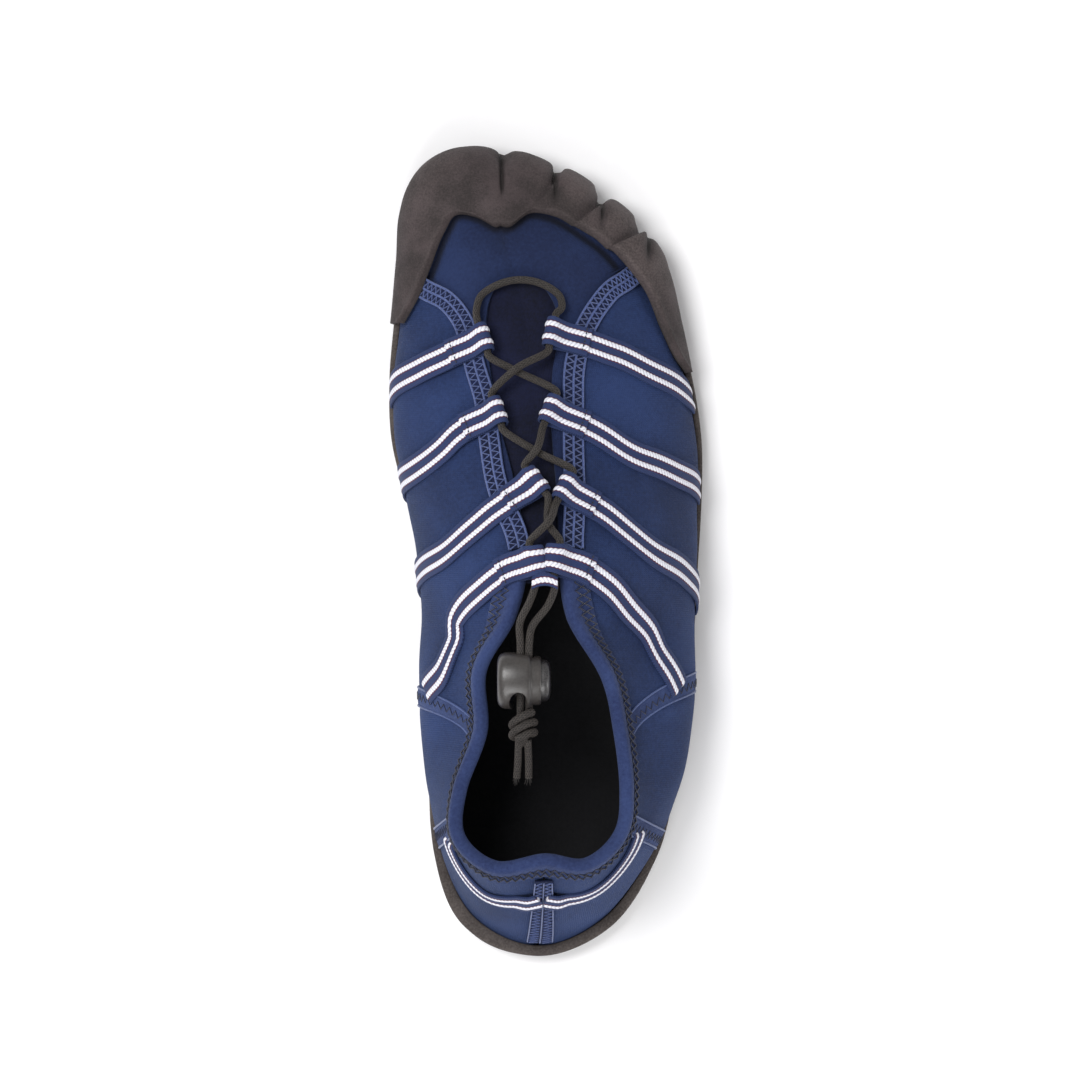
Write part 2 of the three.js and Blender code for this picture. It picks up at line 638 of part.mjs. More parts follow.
function sole_row(side, v) {
  const with_rim = v > (side < 0 ? cap_end.medial : cap_end.lateral) + 0.001;
  const inner = knit_thickness + fit;
  const bottom = edge_point(side, v, with_rim ? inner + rim_thickness - 0.4 : knit_thickness, 0);
  const top = edge_point(side, v, with_rim ? inner : knit_thickness, sole_thickness);
  const middle = [towards_spine(bottom, v, 0.5), towards_spine(top, v, 0.5)];
  const spine = [spine_point(v, 0), spine_point(v, sole_thickness)];
  if (!with_rim) {
    return [[bottom, top], [bottom, top], [bottom, top], middle, spine];
  }
  const wall = (h) => [
    lifted(side * (1 - h), v, inner + rim_thickness),
    lifted(side * (1 - h), v, inner),
  ];
  return [wall(rim_rise), wall(rim_rise / 3), [bottom, top], middle, spine];
}
function make_outsole() {
  const first = -112 * lengthwise;
  const cutters = range(0, groove_count - 1, groove_count - 1).map((k) => (
    wasm.Manifold.cube([200 * widthwise, groove_width, 2 * groove_depth], true)
      .translate([0, first + k * groove_pitch * lengthwise, 0])
  ));
  const body = solid_of(slab(around_the_sole(sole_stations, sole_row)));
  return geometry_of(body.subtract(wasm.Manifold.union(cutters)));
}

// ---- toe cap: five toes moulded in one piece ----
const cap_top = [
  [-0.272, 0.31], [-0.255, 0.37], [-0.236, 0.423], [-0.205, 0.478], [-0.174, 0.527], [-0.137, 0.582], [-0.1, 0.63],
  [-0.073, 0.757], [-0.044, 0.9], [0, 0.93], [0.03, 0.92], [0.064, 0.861], [0.089, 0.689], [0.124, 0.586],
  [0.163, 0.531], [0.192, 0.484], [0.222, 0.446], [0.248, 0.4], [0.287, 0.36], [0.32, 0.29], [0.335, 0.2],
];
// Places of the toe tips and of the valleys between them, and how far each stands out.
const toes = [
  [-0.272, 0], [-0.2, -0.2], [-0.13, 0.2], [-0.06, 0.9], [-0.018, 1], [0.008, 0.2], [0.021, -1.7], [0.034, 0],
  [0.052, 1], [0.073, 0.2], [0.088, -1.7], [0.101, 0], [0.119, 1], [0.139, 0.2], [0.153, -1.7], [0.166, 0],
  [0.182, 0.9], [0.2, 0.2], [0.214, -1.6], [0.227, 0], [0.243, 0.9], [0.27, 0.3], [0.3, -0.3], [0.335, -0.6],
];
const cap_stations = [
  -0.272, -0.245, -0.215, -0.185, -0.155, -0.13, -0.105, -0.08, -0.06, -0.04, -0.018, 0, 0.01, 0.021, 0.032,
  0.052, 0.07, 0.088, 0.1, 0.119, 0.137, 0.153, 0.167, 0.182, 0.199, 0.214, 0.228, 0.243, 0.262, 0.285, 0.31, 0.335,
];
function make_toe_cap() {
  const inner = knit_thickness + cap_gap;
  const grid = cap_stations.map((signed) => {
    const [side, v] = [signed < 0 ? -1 : 1, Math.abs(signed)];
    const high = table(cap_top, signed);
    const bulge = table(toes, signed);
    const low_edge = (height) => [
      edge_point(side, v, inner, height),
      edge_point(side, v, inner + cap_thickness + 0.5 * bulge, height),
    ];
    const wall = range(0.07, high, 7).map((h, k) => {
      const low_down = 1 - THREE.MathUtils.smoothstep(h, 0.25, 0.62);
      const rounding = k === 7 ? 0.9 : 0;
      const thinning = 0.6 * THREE.MathUtils.smoothstep(h, 0.3, 0.9);
      return sheet_at(side * (1 - h), v, inner, cap_thickness + bulge * low_down - rounding - thinning);
    });
    return [low_edge(0.4), low_edge(3.4), ...wall];
  });
  return slab(grid);
}

// ---- lace ----
// Places are [x, y, height over the upper]; the threaded lace passes through the webbing loops in turn.
const lace_radius = lace_diameter / 2;
function over_upper([x, y, height]) {
  const [w, v] = under(x, y);
  return lifted(w, v, height);
}
function through_loop(name) {
  const { centre, beside } = tunnel_of(straps[name]);
  const [within, beyond] = [strap_width / 2 - 0.4, strap_width / 2 + 1.8];
  const stops = [-beyond, -within, within, beyond];
  const ends = stops.map((distance) => centre.clone().addScaledVector(beside, distance));
  return ends[0].y > ends[3].y ? ends : ends.reverse();
}
function lace_path() {
  const left = [
    over_upper([-8.6, 58.3, 4.7]),
    ...through_loop("webbing_lateral_2"),
    over_upper([-2.4, 31.2, 8]),
    ...through_loop("webbing_medial_3"),
    over_upper([0.9, 7.4, 4.9]),
    ...through_loop("webbing_lateral_4"),
  ];
  const right = [
    over_upper([-8.6, 58.3, 8.2]),
    ...through_loop("webbing_medial_2"),
    over_upper([-2.4, 31.2, 4.6]),
    ...through_loop("webbing_lateral_3"),
    over_upper([1.3, 7, 8.3]),
    ...through_loop("webbing_medial_4"),
  ];
  const arc = [
    over_upper([-21.6, 79.6, 5.2]), over_upper([-20.4, 85, 4.2]), over_upper([-14.8, 89, 3.8]),
    over_upper([-8, 90.4, 3.8]), over_upper([-1, 88.8, 3.8]), over_upper([4.4, 84.6, 4.2]), over_upper([5, 80.2, 5.2]),
  ];
  const medial_first = through_loop("webbing_medial_1");
  const lateral_first = through_loop("webbing_lateral_1");
  return [...left.reverse(), ...medial_first.reverse(), ...arc, ...lateral_first, ...right];
}
function smooth_path(points, step) {
  const curve = new THREE.CatmullRomCurve3(points, false, "centripetal");
  curve.arcLengthDivisions = 800;
  return range(0, 1, Math.round(curve.getLength() / step)).map((share) => curve.getPointAt(share));
}
function make_lace() {
  return tube(smooth_path(lace_path(), 5), lace_radius, 8);
}

// The free strands leave the last loops, cross the throat and run straight through the lock to the knot.
const slide_slope = -0.2; // fall per millimetre toward the heel
function drawn_place([x, y, z]) {
  return new THREE.Vector3(x * widthwise, y * lengthwise, z * upwards);
}
const lock_centre = drawn_place([-8.5, -43.2, 69.9]);
const strand_end = 10.6; // from the middle of the lock to the knot
const slot_offset = 1.9; // strands run on the lip side of the middle of the barrel
const strand_middle = lock_centre.x + slot_offset;
function along_slide(distance, x = strand_middle, height = 0) {
  return new THREE.Vector3(x, lock_centre.y - distance, lock_centre.z + slide_slope * distance + height);
}
const strand_starts = {
  medial: [[-3.3, -11.6, 72.4], [-5.2, -17.5, 73.2], [-8.2, -24, 72.4]],
  lateral: [[3.3, -11.2, 72.4], [1.2, -18, 73.2], [-4.2, -25.4, 71.9]],
};
function strand_path(side) {
  const x = strand_middle + (side === "medial" ? -0.5 : 0.5) * strand_spacing;
  const start = strand_starts[side].map(drawn_place);
  return [...start, along_slide(-12, x), along_slide(0, x), along_slide(strand_end, x)];
}
function make_strand(side) {
  return tube(smooth_path(strand_path(side), 4), lace_radius, 8);
}
function make_tail(side) {
  const out = side === "medial" ? -1 : 1;
  const first = strand_end + knot_length + 2 * fit;
  return tube(smooth_path([
    along_slide(first, strand_middle - 0.5 + 1.6 * out),
    along_slide(first + 0.5 * tail_length, strand_middle - 0.5 + 1.8 * out, -0.3),
    along_slide(first + tail_length, strand_middle - 0.7 + 2 * out, -0.9),
  ], 3), lace_radius, 8);
}
// Solids drawn about the lock's own axes: x along the button, y along the lace, z up.
function in_lock_frame(geometry, distance = 0) {
  const placed = geometry.clone();
  placed.rotateX(Math.atan(-slide_slope));
  const spot = along_slide(distance, lock_centre.x);
  return placed.translate(spot.x, spot.y, spot.z);
}
// A rounded oval drum along x; profile rows are [x, share of the full section].
function drum(profile, width, height, sides_of_drum = 20) {
  const positions = [];
  const indices = [];
  for (const [x, share] of profile) {
    for (let k = 0; k < sides_of_drum; k += 1) {
      const angle = (2 * Math.PI * k) / sides_of_drum;
      positions.push(x, 0.5 * width * share * Math.cos(angle), 0.5 * height * share * Math.sin(angle));
    }
  }
  for (let i = 0; i + 1 < profile.length; i += 1) {
    for (let k = 0; k < sides_of_drum; k += 1) {
      const [a, b] = [i * sides_of_drum + k, i * sides_of_drum + ((k + 1) % sides_of_drum)];
      indices.push(a, b, b + sides_of_drum, a, b + sides_of_drum, a + sides_of_drum);
    }
  }
  const last = (profile.length - 1) * sides_of_drum;
  for (let k = 1; k + 1 < sides_of_drum; k += 1) {
    indices.push(0, k + 1, k, last, last + k, last + k + 1);
  }
  return facing_out(positions, indices);
}
const wasm = await Module();
wasm.setup();
function solid_of(geometry) {
  return new wasm.Manifold(new wasm.Mesh({
    numProp: 3,
    vertProperties: new Float32Array(geometry.getAttribute("position").array),
    triVerts: new Uint32Array(geometry.index.array),
  }));
}
function geometry_of(solid) {
  const { vertProperties, triVerts } = solid.getMesh();
  const geometry = new THREE.BufferGeometry();
  geometry.setAttribute("position", new THREE.Float32BufferAttribute(Array.from(vertProperties), 3));
  geometry.setIndex(Array.from(triVerts));
  return geometry;
}
const closed_end = -lock_length / 2;
const lip_end = lock_length / 2;
function cord_slot(from, to) {
  const height = lace_diameter + 2 * cord_slack;
  return wasm.Manifold.cube([to - from, 3 * lock_width, height], true).translate([(from + to) / 2, 0, 0]);
}
const strands_from = slot_offset - strand_spacing / 2 - lace_radius - cord_slack;
const strands_to = slot_offset + strand_spacing / 2 + lace_radius + cord_slack;
function make_barrel() {
  const lip_share = 1 - (2 * lip_inset) / lock_width;
  const outer = drum([
    [closed_end, 0.8], [closed_end + 0.7, 0.94], [closed_end + 2, 1], [lip_end - lip_length - 1, 1],
    [lip_end - lip_length, lip_share], [lip_end - 0.6, lip_share], [lip_end, lip_share - 0.05],
  ], lock_width, lock_height);
  const bore_ends = [[closed_end + lock_wall, 1], [lip_end + 1, 1]];
  const bore = drum(bore_ends, button_width + 2 * button_gap, button_height + 2 * button_gap);
  const shell = solid_of(outer).subtract(solid_of(bore));
  return in_lock_frame(geometry_of(shell.subtract(cord_slot(strands_from, strands_to))));
}
function make_button() {
  const inner_end = strands_from - 0.05 - lock_wall;
  const outer_end = lip_end + button_reach;
  const body = drum([
    [inner_end, 1], [outer_end - 1, 1], [outer_end - 0.3, 0.93], [outer_end, 0.82],
  ], button_width, button_height);
  const window_end = strands_to + button_travel;
  return in_lock_frame(geometry_of(solid_of(body).subtract(cord_slot(strands_from - 0.05, window_end))));
}
function make_lock_spring() {
  const from = closed_end + lock_wall + 0.3 + spring_wire / 2;
  const to = strands_from - 0.05 - lock_wall - 0.3 - spring_wire / 2;
  const path = range(0, 1, 10 * spring_turns).map((share) => {
    const angle = 2 * Math.PI * spring_turns * share;
    const radius = spring_coil / 2;
    return new THREE.Vector3(from + (to - from) * share, radius * Math.cos(angle), radius * Math.sin(angle));
  });
  return in_lock_frame(tube(path, spring_wire / 2, 6));
}
function make_knot() {
  const rows = range(-1, 1, 8).map((x) => [x * 0.5 * knot_width, Math.sqrt(Math.max(1 - x * x, 0.06))]);
  const body = drum(rows, knot_length, knot_height, 12);
  const knot = in_lock_frame(body, strand_end + fit + knot_length / 2);
  return knot.translate(strand_middle - lock_centre.x - 0.5, 0, 0);
}
// A short bar of webbing sewn across the last loops, behind which the strands come out.
const keeper = { length: 8.8, width: 2, behind_loops: 3.8, over_throat: 4.195, crown: 0.03 };
function make_keeper() {
  const front = -keeper.behind_loops * lengthwise - strap_width / 2;
  const height = ridge.at(-1)[2] * upwards + keeper.over_throat + strap_low + lace_diameter;
  const rows = range(-keeper.length / 2, keeper.length / 2, 4).map((x) => {
    const low = height - keeper.crown * x * x;
    return [front, front - keeper.width].map((y) => [
      new THREE.Vector3(x, y, low),
      new THREE.Vector3(x, y, low + strap_thickness),
    ]);
  });
  return slab(rows);
}

// ---- assembly ----
const colours = {
  navy: 0x2f4468,
  dark_navy: 0x27395a,
  tape: 0x3d4c66,
  webbing: 0x232c40,
  gusset: 0x121925,
  rubber: 0x3f3936,
  black: 0x17181b,
  cord: 0x3a3533,
  plastic: 0x3b3836,
  steel: 0xb0b2b5,
};
const shoe = new THREE.Group();
shoe.name = "water_shoe";
function add(name, geometry, colour, roughness = 0.9, metalness = 0) {
  const faces = geometry.toNonIndexed();
  faces.computeVertexNormals();
  const material = new THREE.MeshStandardMaterial({ color: colours[colour], roughness, metalness });
  material.name = `${name}_material`;
  const mesh = new THREE.Mesh(faces, material);
  mesh.name = name;
  shoe.add(mesh);
}
add("vamp", make_vamp(), "dark_navy");
add("throat_gusset", make_gusset(), "gusset");
add("toe_cap", make_toe_cap(), "rubber", 0.75);
add("outsole", make_outsole(), "rubber", 0.75);
add("lasting_board", flat_layer(board_inset, board_low, board_low + board_thickness), "black");
add("insole", flat_layer(insole_inset, insole_low, insole_low + insole_thickness), "black");
add("collar_binding", make_binding(), "tape");
for (const side of ["medial", "lateral"]) {
  add(`quarter_${side}`, make_quarter(side), "navy");
  add(`ankle_panel_${side}`, make_ankle_panel(side), "navy");
  add(`heel_panel_${side}`, make_heel_panel(side), "navy");
  add(`tape_${side}_vamp`, make_vamp_tape(side), "tape");
  add(`heel_webbing_${side}`, make_heel_webbing(side), "webbing");
  add(`lace_end_${side}`, make_strand(side), "cord");
  add(`lace_tail_${side}`, make_tail(side), "cord");
}
add("tape_back", make_back_tape(), "tape");
for (const [name, places] of Object.entries(tapes)) {
  add(name, make_tape(places), "tape");
}
for (const [name, strap] of Object.entries(straps)) {
  add(name, make_strap(strap), "webbing");
}
add("lace_keeper", make_keeper(), "webbing");
add("lace", make_lace(), "cord");
add("lace_knot", make_knot(), "cord");
add("cord_lock_barrel", make_barrel(), "plastic", 0.45);
add("cord_lock_button", make_button(), "plastic", 0.45);
add("cord_lock_spring", make_lock_spring(), "steel", 0.3, 1);
const extent = new THREE.Box3().setFromObject(shoe);
const middle = extent.getCenter(new THREE.Vector3());
shoe.position.set(-middle.x, -middle.y, -extent.min.z);
export default shoe;
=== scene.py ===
import math

import bpy
import numpy as np
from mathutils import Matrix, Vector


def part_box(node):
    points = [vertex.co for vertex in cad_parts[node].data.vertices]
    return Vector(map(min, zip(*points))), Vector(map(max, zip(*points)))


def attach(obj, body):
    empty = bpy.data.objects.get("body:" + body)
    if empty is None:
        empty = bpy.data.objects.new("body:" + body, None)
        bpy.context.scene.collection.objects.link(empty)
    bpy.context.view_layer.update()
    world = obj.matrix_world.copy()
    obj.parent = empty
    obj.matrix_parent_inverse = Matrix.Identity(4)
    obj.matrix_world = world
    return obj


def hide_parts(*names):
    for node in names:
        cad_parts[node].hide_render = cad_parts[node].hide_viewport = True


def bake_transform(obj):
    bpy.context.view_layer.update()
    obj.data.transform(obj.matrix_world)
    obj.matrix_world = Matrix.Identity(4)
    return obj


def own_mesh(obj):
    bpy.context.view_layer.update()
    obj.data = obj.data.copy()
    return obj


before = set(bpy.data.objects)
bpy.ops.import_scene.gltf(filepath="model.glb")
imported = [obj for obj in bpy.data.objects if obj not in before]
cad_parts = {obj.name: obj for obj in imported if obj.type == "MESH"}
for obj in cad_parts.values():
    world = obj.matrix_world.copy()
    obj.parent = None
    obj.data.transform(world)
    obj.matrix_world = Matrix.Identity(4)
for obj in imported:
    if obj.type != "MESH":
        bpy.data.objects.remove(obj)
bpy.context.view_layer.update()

# A right-foot water shoe. The form of the upper is drawn in millimetres and laid out in metres.
MM = 0.001

# ---- layers, measured outward from the inner face of the knit ----
KNIT = 2.0
PANEL_CLOTH = 1.7
FIT = 0.35
TRIM = 0.6
STRAP = 1.0
FLAT_ON_KNIT = KNIT + 0.12
SEWN_INTO_KNIT = 1.9  # how far the cut end of a webbing is pulled into its seam
STRAP_WIDTH = 10.0
TAPE_WIDTH = 7.0
BINDING_DROP = 7.5
CAP_THICKNESS = 3.0
CAP_GAP = 0.5
SOLE = 4.4
RIM = 2.2
RIM_RISE = 0.1
LACE = 2.5
CORD_SLACK = 0.45
CLOTH_LENGTH = 290.0
CLOTH_RISE = 75.0
CLOTH_SCALE = (CLOTH_LENGTH, CLOTH_RISE)
STRIPE_MIDDLE, STRIPE_HALF = 2.32, 0.88  # each white stripe of the webbing, from its middle line
CORD_TWIST, TWIST_LEAN = 1.35, 2.0

# ---- outline stations, toe to heel ----
FEATHER_MEDIAL = [
    (-20, 130.5), (-35, 125.4), (-42, 113), (-44, 97), (-45.3, 78), (-46, 58), (-45.2, 38), (-39.5, 18),
    (-34, -2), (-31, -22), (-30.3, -42), (-31.2, -62), (-32.5, -82), (-32, -102), (-22.6, -124),
]
FEATHER_HEEL = (-2.5, -133)
FEATHER_LATERAL = [
    (-4, 125.5), (13, 115), (27.5, 101), (38, 81), (44, 60), (47, 38), (46.8, 18),
    (45, -2), (43, -22), (40, -42), (38, -62), (36, -82), (32.5, -102), (18.8, -124),
]
FEATHER_HEIGHT = 6.4
WIDEST_MEDIAL = [
    (-20, 131.6, 13), (-35.5, 126.2, 14), (-42.6, 113.4, 15), (-44.8, 97, 17), (-46.8, 78, 19),
    (-49.4, 58, 21), (-48.7, 38, 23), (-44.8, 18, 25), (-40.8, -2, 26), (-38.8, -22, 27),
    (-39, -42, 27), (-38.8, -62, 26), (-36.4, -82, 26), (-33, -102, 24), (-22, -122.6, 21),
]
WIDEST_HEEL = (-1.8, -131.4, 20)
WIDEST_LATERAL = [
    (-3.6, 126.3, 14), (13.5, 115.6, 15), (28.3, 101.5, 17), (39, 81, 19),
    (45.2, 60, 20), (49.4, 38, 21), (49.8, 18, 23), (49.6, -2, 25), (49, -22, 26),
    (48.2, -42, 27), (46.4, -62, 27), (42.2, -82, 26), (34.7, -102, 24), (19, -122.4, 21),
]
RIDGE = [
    (-14, 106, 27), (-13.5, 103, 27.5), (-11.5, 97, 29), (-8.5, 87, 31.5), (-6, 74, 35.5),
    (-4, 57, 41.5), (-2.5, 38, 49), (-1.5, 18, 57), (-1, -2, 65),
]
RIM_MEDIAL = [
    (-10.5, -23, 69), (-20.2, -40, 65.5), (-20, -60, 60), (-27, -80, 60), (-27.5, -95, 64), (-16, -104, 70),
]
RIM_HEEL = (0, -101.5, 72)
RIM_LATERAL = [
    (8, -23, 69), (19.5, -42, 65), (23.8, -60, 60), (26, -80, 60), (24, -94, 64), (13.5, -103, 70),
]
THROAT = 8 / 15
OPEN_COLLAR = 9.6 / 15
SIDE = {"medial": -1.0, "lateral": 1.0}

# The keeper bar stands on the middle of the drawing, so it gives the shift from the drawing to the frame.
keeper_low, keeper_high = (np.array(corner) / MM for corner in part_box("lace_keeper"))
KEEPER_BACK = 9.8
KEEPER_UNDERSIDE, KEEPER_CROWN, KEEPER_REACH = 75.1, 0.03, 4.4
SHIFT = np.array([
    (keeper_low[0] + keeper_high[0]) / 2,
    (keeper_low[1] + keeper_high[1]) / 2 + KEEPER_BACK,
    keeper_low[2] - (KEEPER_UNDERSIDE - KEEPER_CROWN * KEEPER_REACH ** 2),
])


def in_frame(points):
    return (np.asarray(points, float) + SHIFT) * MM


# ---- camera, light and floor ----
CAMERA_DISTANCE = 2.5
FRAME_WIDTH = 0.3667  # what the camera sees, at FRAME_HEIGHT over the floor
FRAME_HEIGHT = 0.015
SENSOR = 36
camera_data = bpy.data.cameras.new("top_camera")
camera_data.sensor_width = SENSOR
camera_data.lens = SENSOR * (CAMERA_DISTANCE - FRAME_HEIGHT) / FRAME_WIDTH
camera = bpy.data.objects.new("top_camera", camera_data)
camera.location = (-0.0017, 0.0034, CAMERA_DISTANCE)
bpy.context.scene.collection.objects.link(camera)
bpy.context.scene.camera = camera
bpy.context.scene.view_settings.view_transform = "Standard"


def softbox(name, place, aim, size, power):
    data = bpy.data.lights.new(name, "AREA")
    data.shape = "DISK"
    data.size = size
    data.energy = power
    light = bpy.data.objects.new(name, data)
    bpy.context.scene.collection.objects.link(light)
    light.location = place
    direction = np.array(aim) - np.array(place)
    light.rotation_euler = (
        math.atan2(math.hypot(direction[0], direction[1]), -direction[2]),
        0,
        math.atan2(direction[1], direction[0]) - math.pi / 2,
    )


softbox("softbox_top", (-0.6, 0.35, 1.45), (0, 0, 0.03), 0.8, 17)
softbox("softbox_heel", (-0.2, -1.0, 1.0), (0, -0.03, 0.03), 0.8, 8)
softbox("softbox_lateral", (1.3, -0.6, 0.65), (0, -0.04, 0.03), 0.6, 3.5)
world = bpy.data.worlds.new("studio")
world.use_nodes = True
world.node_tree.nodes["Background"].inputs["Color"].default_value = (1, 1, 1, 1)
world.node_tree.nodes["Background"].inputs["Strength"].default_value = 0.5
bpy.context.scene.world = world


# ---- curves through points ----
def on_loop(points, around):
    """Smooth reading of a closed ring of points; around goes once round from 0 to 1."""
    count = len(points)
    place = (np.asarray(around, float) % 1) * count
    first = np.floor(place).astype(int)
    t = (place - first)[..., None]
    before, start, end, after = (points[(first + k) % count] for k in (-1, 0, 1, 2))
    leave, arrive = (end - before) / 2, (after - start) / 2
    square = 3 * (end - start) - 2 * leave - arrive
    cube = 2 * (start - end) + leave + arrive
    return start + t * (leave + t * (square + t * cube))


def smooth_line(points, per_span=48):
    """Points close together on a smooth curve through the given ones."""
    points = np.asarray(points, float)
    points = np.vstack([2 * points[0] - points[1], points, 2 * points[-1] - points[-2]])
    share = np.linspace(0, 1, per_span, endpoint=False)[:, None]
    rows = []
    for a, b, c, d in zip(points, points[1:], points[2:], points[3:]):
        gaps = [max(np.linalg.norm(q - p) ** 0.5, 1e-4) for p, q in ((a, b), (b, c), (c, d))]
        leave = gaps[1] * ((b - a) / gaps[0] - (c - a) / (gaps[0] + gaps[1]) + (c - b) / gaps[1])
        arrive = gaps[1] * ((c - b) / gaps[1] - (d - b) / (gaps[1] + gaps[2]) + (d - c) / gaps[2])
        square = 3 * (c - b) - 2 * leave - arrive
        cube = 2 * (b - c) + leave + arrive
        rows.append(b + share * (leave + share * (square + share * cube)))
    return np.vstack(rows + [points[-2]])


def distance_along(points):
    return np.concatenate([[0], np.cumsum(np.linalg.norm(np.diff(points, axis=0), axis=1))])


class Line:
    """A smooth curve, read by its share of the length from 0 to 1."""

    def __init__(self, points, scale=1.0):
        self.scale = np.asarray(scale, float)
        self.points = smooth_line(np.asarray(points, float) * self.scale)
        self.run = distance_along(self.points)
        self.length = self.run[-1]

    def __call__(self, share):
        at = np.clip(np.asarray(share, float), 0, 1) * self.length
        columns = [np.interp(at, self.run, column) for column in self.points.T]
        return np.stack(columns, axis=-1) / self.scale


def outline(medial, heel, lateral):
    around = [*medial, heel, *lateral[::-1]]
    return np.array([(*p, 0)[:3] if len(p) == 2 else p for p in around], float)


FEATHER = outline(FEATHER_MEDIAL, FEATHER_HEEL, FEATHER_LATERAL)
WIDEST = outline(WIDEST_MEDIAL, WIDEST_HEEL, WIDEST_LATERAL)
TOP = outline([*RIDGE, *RIM_MEDIAL], RIM_HEEL, [*RIDGE[1:], *RIM_LATERAL])


def smoothstep(x, low, high):
    t = np.clip((np.asarray(x, float) - low) / (high - low), 0, 1)
    return t * t * (3 - 2 * t)


TOE_SPRING = 5
SPRING_START, SPRING_RUN = 60, 77


def lift_of_toe(y):
    return TOE_SPRING * (np.maximum(0, (np.asarray(y) - SPRING_START) / SPRING_RUN)) ** 2


# ---- the inner face of the upper: v toe to heel, w medial (-1) over the ridge (0) to lateral (1) ----
COLLAR_UPRIGHT = 17  # how far below the rim the shoulder of the collar stands


def skin_around(h, around):
    """Each section is one cubic: feather line, belly, shoulder, top. It passes the widest point of its side."""
    h, around = np.broadcast_arrays(np.asarray(h, float), np.asarray(around, float))
    v = np.where(around <= 0.5, around * 2, 2 - around * 2)
    foot = on_loop(FEATHER, around)
    foot[..., 2] = FEATHER_HEIGHT
    wide = on_loop(WIDEST, around)
    top = on_loop(TOP, around)
    collar = smoothstep(v, THROAT, OPEN_COLLAR)
    reach = 0.56 - 0.34 * collar + 0.18 * smoothstep(v, 0.84, 0.94)
    shoulder = top + (wide - top) * reach[..., None]
    shoulder[..., 2] = top[..., 2] - COLLAR_UPRIGHT * collar
    belly = (216 * wide - 125 * foot - 15 * shoulder - top) / 75
    belly[..., 2] = (27 * wide[..., 2] - 8 * foot[..., 2] - 6 * shoulder[..., 2] - top[..., 2]) / 12
    h = h[..., None]
    down = 1 - h
    point = down ** 3 * foot + 3 * down ** 2 * h * belly + 3 * down * h * h * shoulder + h ** 3 * top
    point[..., 2] += lift_of_toe(point[..., 1])
    return point


def around_at(w, v):
    return np.where(np.asarray(w) < 0, np.asarray(v) / 2, 1 - np.asarray(v) / 2) % 1


def skin(w, v):
    return skin_around(1 - np.abs(w), around_at(w, v))


SMALL_STEP = 0.004


def unit(vectors):
    return vectors / np.maximum(np.linalg.norm(vectors, axis=-1, keepdims=True), 1e-9)


def one_sided_normal(h, around):
    step = SMALL_STEP
    high = np.minimum(h, 0.975)
    along = skin_around(high, around + step) - skin_around(high, around - step)
    up = skin_around(high + step, around) - skin_around(high - step, around)
    return unit(np.cross(along, up))


def skin_normal(w, v):
    w, v = np.broadcast_arrays(np.asarray(w, float), np.asarray(v, float))
    h = 1 - np.abs(w)
    own = one_sided_normal(h, around_at(w, v))
    other = one_sided_normal(h, around_at(np.where(w == 0, -1.0, -w), v))
    beside = 0.06
    on_ridge = (v < THROAT + 0.03) & (np.abs(w) < beside)
    share = np.where(on_ridge, 0.5 + 0.5 * np.abs(w) / beside, 1)[..., None]
    return unit(own * share + other * (1 - share))


def lifted(w, v, offset):
    return skin(w, v) + skin_normal(w, v) * np.asarray(offset, float)[..., None]


LOOK_W, LOOK_V = np.meshgrid(
    np.concatenate([-np.arange(0.7, 0, -0.05), [-0.0005, 0.0005], np.arange(0.05, 0.71, 0.05)]),
    np.linspace(0, 1, 51),
)
LOOK = skin(LOOK_W, LOOK_V)


def under(x, y):
    """The place [w, v] of the upper that lies under a point of the plan."""
    goal = np.array([x, y], float)
    far = np.linalg.norm(LOOK[..., :2] - goal, axis=-1)
    nearest = np.unravel_index(np.argmin(far), far.shape)
    w, v = LOOK_W[nearest], LOOK_V[nearest]
    step = 0.02
    while step > 0.00005:
        for _ in range(6):
            tries_w = w + step * np.array([0, 1, -1, 0, 0])
            tries_v = np.clip(v + step * np.array([0, 0, 0, 1, -1]), 0, 1)
            miss = np.linalg.norm(skin(tries_w, tries_v)[:, :2] - goal, axis=-1)
            best = np.argmin(miss)
            w, v = tries_w[best], tries_v[best]
            if best == 0:
                break
        step /= 2
    return w, v


# ---- runs laid on the upper, which keep their width on its curved surface ----
RUN_SCALE = (CLOTH_RISE, CLOTH_LENGTH)


def run_line(places):
    return Line(places, RUN_SCALE)


def run_frame(line, share):
    share = np.asarray(share, float)
    places = line(share)
    w, v = places[..., 0], places[..., 1]
    ahead, behind = line(share + SMALL_STEP), line(share - SMALL_STEP)
    forward = skin(ahead[..., 0], ahead[..., 1]) - skin(behind[..., 0], behind[..., 1])
    normal = skin_normal(w, v)
    forward = unit(forward - normal * np.sum(forward * normal, axis=-1, keepdims=True))
    return w, v, skin(w, v), forward, normal, np.cross(normal, forward)


def beside_run(line, share, distance):
    """[w, v] at a distance sideways from the run, for a column of shares and a row of distances."""
    w, v, spot, _, _, beside = run_frame(line, np.asarray(share, float)[:, None])
    distance = np.asarray(distance, float)[..., None] * np.ones((len(np.atleast_1d(share)), 1, 1))
    step = 0.003
    by_w = (skin(w + step, v) - spot) / step
    by_v = (skin(w, v + step) - spot) / step
    goal = beside * distance
    ww, wv, vv = (np.sum(a * b, axis=-1) for a, b in ((by_w, by_w), (by_w, by_v), (by_v, by_v)))
    gw, gv = np.sum(goal * by_w, axis=-1), np.sum(goal * by_v, axis=-1)
    size = ww * vv - wv * wv
    return w + (gw * vv - gv * wv) / size, v + (gv * ww - gw * wv) / size


def run_length(line):
    places = line(np.linspace(0, 1, 41))
    return float(np.sum(np.linalg.norm(np.diff(skin(places[:, 0], places[:, 1]), axis=0), axis=1)))


# ---- meshes ----
def only(obj):
    bpy.ops.object.select_all(action="DESELECT")
    obj.select_set(True)
    bpy.context.view_layer.objects.active = obj
    return obj


